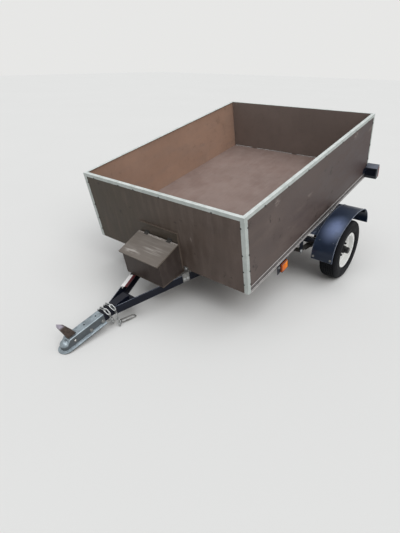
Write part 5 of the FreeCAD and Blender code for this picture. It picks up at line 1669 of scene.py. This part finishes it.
@dataclass
class Lamps(Assembly):
    """Frames, ribs and screws of the lamps' lenses and the side reflectors."""

    back: float = -0.860
    inner: float = 0.746
    outer: float = 0.846
    low: float = 0.264
    high: float = 0.356
    margin: float = 0.006
    edge_bar: float = 0.0024
    ribs: int = 9
    rib_start: float = 0.010
    rib_step: float = 0.009
    rib_bar: float = 0.0014
    screw_sink: float = 0.001
    hood: tuple[Span, ...] = (
        (-0.802, 0.3575), (-0.858, 0.3575), (-0.858, 0.3780), (-0.848, 0.3810))
    reflector_x: Span = (0.554, 0.638)
    reflector_z: Span = (0.108, 0.176)
    reflector_y: float = 0.717
    reflector_start: float = 0.008
    reflector_step: float = 0.0085
    reflector_margin: float = 0.004
    reflector_bar: float = 0.0013
    rim_bar: float = 0.0030
    plate: Span = (0.664, 0.708)
    plate_z: Span = (0.196, 0.166)
    screw: HeadShape = HeadShape(0.0042, 0.0022)
    bolt: HeadShape = hexagon(0.0085, 0.0055, 0.92, 0.0110)

    def build(self) -> None:
        """Make frames, ribs and screws."""
        back, inner, outer, edge = self.back, self.inner, self.outer, self.margin
        ribs = [[(back, s * y, self.low + self.rib_start + self.rib_step * k)
                 for y in (inner + edge, outer - edge)] for s in SIDES for k in range(self.ribs)]
        self.bars("lens_ribs", ribs, self.rib_bar, "red_lens", "lens_red")
        frames = [[(back, s * y, z) for y, z in window((inner, outer), (self.low, self.high))]
                  for s in SIDES]
        self.bars("lens_edges", frames, self.edge_bar, "red_lens", "lens_red", closed=True)
        across, (low, high) = self.reflector_x, self.reflector_z
        rims = [[(x, s * self.reflector_y, z) for x, z in window(across, self.reflector_z)]
                for s in SIDES]
        self.bars("reflector_rims", rims, self.rim_bar, "lamp_plastic", "lamp_black", closed=True)
        first, ends = across[0] + self.reflector_start, (low + self.reflector_margin,
                                                         high - self.reflector_margin)
        lines = [[(first + self.reflector_step * k, s * self.reflector_y, z) for z in ends]
                 for s in SIDES for k in range(self.ribs)]
        self.bars("reflector_ribs", lines, self.reflector_bar, "orange_lens", "reflector_orange",
                  sides=6)
        runs = [([(x, s * inner, z) for x, z in self.hood], (0.0, s * (outer - inner), 0.0))
                for s in SIDES]
        self.carry(self.sections("lamp_hoods", runs, "lamp_plastic"), "lamp_black")
        top, foot = (Fixing((*self.plate, z), LEFT) for z in self.plate_z)
        screws = pairs([*(Fixing((back - self.screw_sink, (inner + outer) / 2, z), AFT)
                          for z in (self.low + edge, self.high - edge)), top])
        self.heads("lamp_screws", screws, self.screw, "zinc_steel")
        self.heads("reflector_bolts", pairs([foot]), self.bolt, "chain_zinc")


@dataclass
class Studio:
    """Camera, soft lights and the pale floor."""

    lens: float = 26.126
    eye: Point = (2.305167, 1.831422, 1.601463)
    yaw: float = math.radians(39.502)
    pitch: float = math.radians(28.219)
    roll: float = math.radians(0.525)
    pale: Colour = (0.80, 0.80, 0.79)
    cloudy: Colour = (0.77, 0.77, 0.76)
    ambient: float = 0.40
    floor_half: float = 40.0
    suns: tuple[tuple[str, Point, float, float, Colour], ...] = (
        ("sky", (0.1, 0.25, 1.0), 0.45, 70.0, (0.96, 0.98, 1.0)),
        ("key", (0.35, 1.0, 0.8), 0.25, 35.0, (1.0, 0.985, 0.96)))

    def camera(self) -> None:
        """Place the camera where the photograph was taken."""
        flat = math.cos(self.pitch)
        forward = Vector((-math.cos(self.yaw) * flat, -math.sin(self.yaw) * flat,
                          -math.sin(self.pitch)))
        right = forward.cross(Vector(UP)).normalized()
        up = right.cross(forward)
        across = right * math.cos(self.roll) + up * math.sin(self.roll)
        upright = up * math.cos(self.roll) - right * math.sin(self.roll)
        data = bpy.data.cameras.new("camera")
        data.lens, data.sensor_width, data.sensor_fit = self.lens, 36.0, "AUTO"
        data.clip_start, data.clip_end = 0.05, 200.0
        obj = linked("camera", data)
        obj.matrix_world = Matrix.Translation(self.eye) @ Matrix(
            (across, upright, -forward)).transposed().to_4x4()
        bpy.context.scene.camera = obj

    @staticmethod
    def sun(name: str, source: Point, strength: float, width: float, colour: Colour) -> None:
        """Add one wide, soft sun that shines from a direction.

        Args:
            name: The light's name.
            source: Where the light comes from.
            strength: Its strength, in multiples of pi.
            width: How wide it is, in degrees.
            colour: Its colour.
        """
        data = bpy.data.lights.new(name, "SUN")
        data.energy, data.angle, data.color = strength * math.pi, math.radians(width), colour
        linked(name, data).rotation_euler = Vector(source).to_track_quat("Z", "Y").to_euler()

    def world(self) -> None:
        """Even light for surfaces, and a pale backdrop for camera, gloss and glass."""
        world = bpy.data.worlds.new("studio")
        world.use_nodes = True
        bpy.context.scene.world = world
        world.node_tree.nodes.clear()
        g = Graph(world.node_tree)
        path = g.add("ShaderNodeLightPath").outputs
        seen = g.math("MAXIMUM", path["Is Camera Ray"], g.math(
            "MAXIMUM", path["Is Glossy Ray"], path["Is Transmission Ray"]))
        even, backdrop = (
            g.out("ShaderNodeBackground", {"Color": (*colour, 1.0), "Strength": strength})
            for colour, strength in (((1.0, 1.0, 1.0), self.ambient), (self.pale, 1.0)))
        mixed = g.out("ShaderNodeMixShader", {0: seen, 1: even, 2: backdrop})
        g.add("ShaderNodeOutputWorld", {"Surface": mixed})

    def floor(self) -> None:
        """Lay the pale floor."""
        ends = (-self.floor_half, self.floor_half)
        mesh = new_mesh("studio_floor", [(x, y, 0.0) for x, y in window(ends, ends)],
                        faces=[(0, 1, 2, 3)])
        coat = Coat("pale_floor", self.pale)
        cloud = coat.graph.noise(coat.graph.place(), 0.6, 2.0, 1.0)
        coat.lay(self.cloudy, coat.graph.ramp(cloud, 0.3, 0.7, 0.0, 0.3))
        coat.graph.fill(coat.shader, {"Roughness": 0.9, "Specular IOR Level": 0.0,
                                      "Base Color": coat.colour})
        mesh.materials.append(coat.material)
        obj = linked("studio_floor", mesh)

    def build(self) -> None:
        """Set up camera, world, suns and floor."""
        bpy.context.scene.view_settings.view_transform = "Standard"
        self.camera()
        self.world()
        self.floor()
        for sun in self.suns:
            self.sun(*sun)


def main() -> None:
    """Dress the frame and add each sub-assembly's pieces, in order."""
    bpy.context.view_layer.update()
    shop = Workshop()
    shop.dress(frame["nodes"])
    for assembly in (LoadBed, Tailboard, Locker, Drawbar, RunningGear, Wheels, Mudguards, Lamps):
        log.info("building %s", assembly.__name__)
        assembly(shop).build()
    Studio().build()


if __name__ == "__main__":
    main()
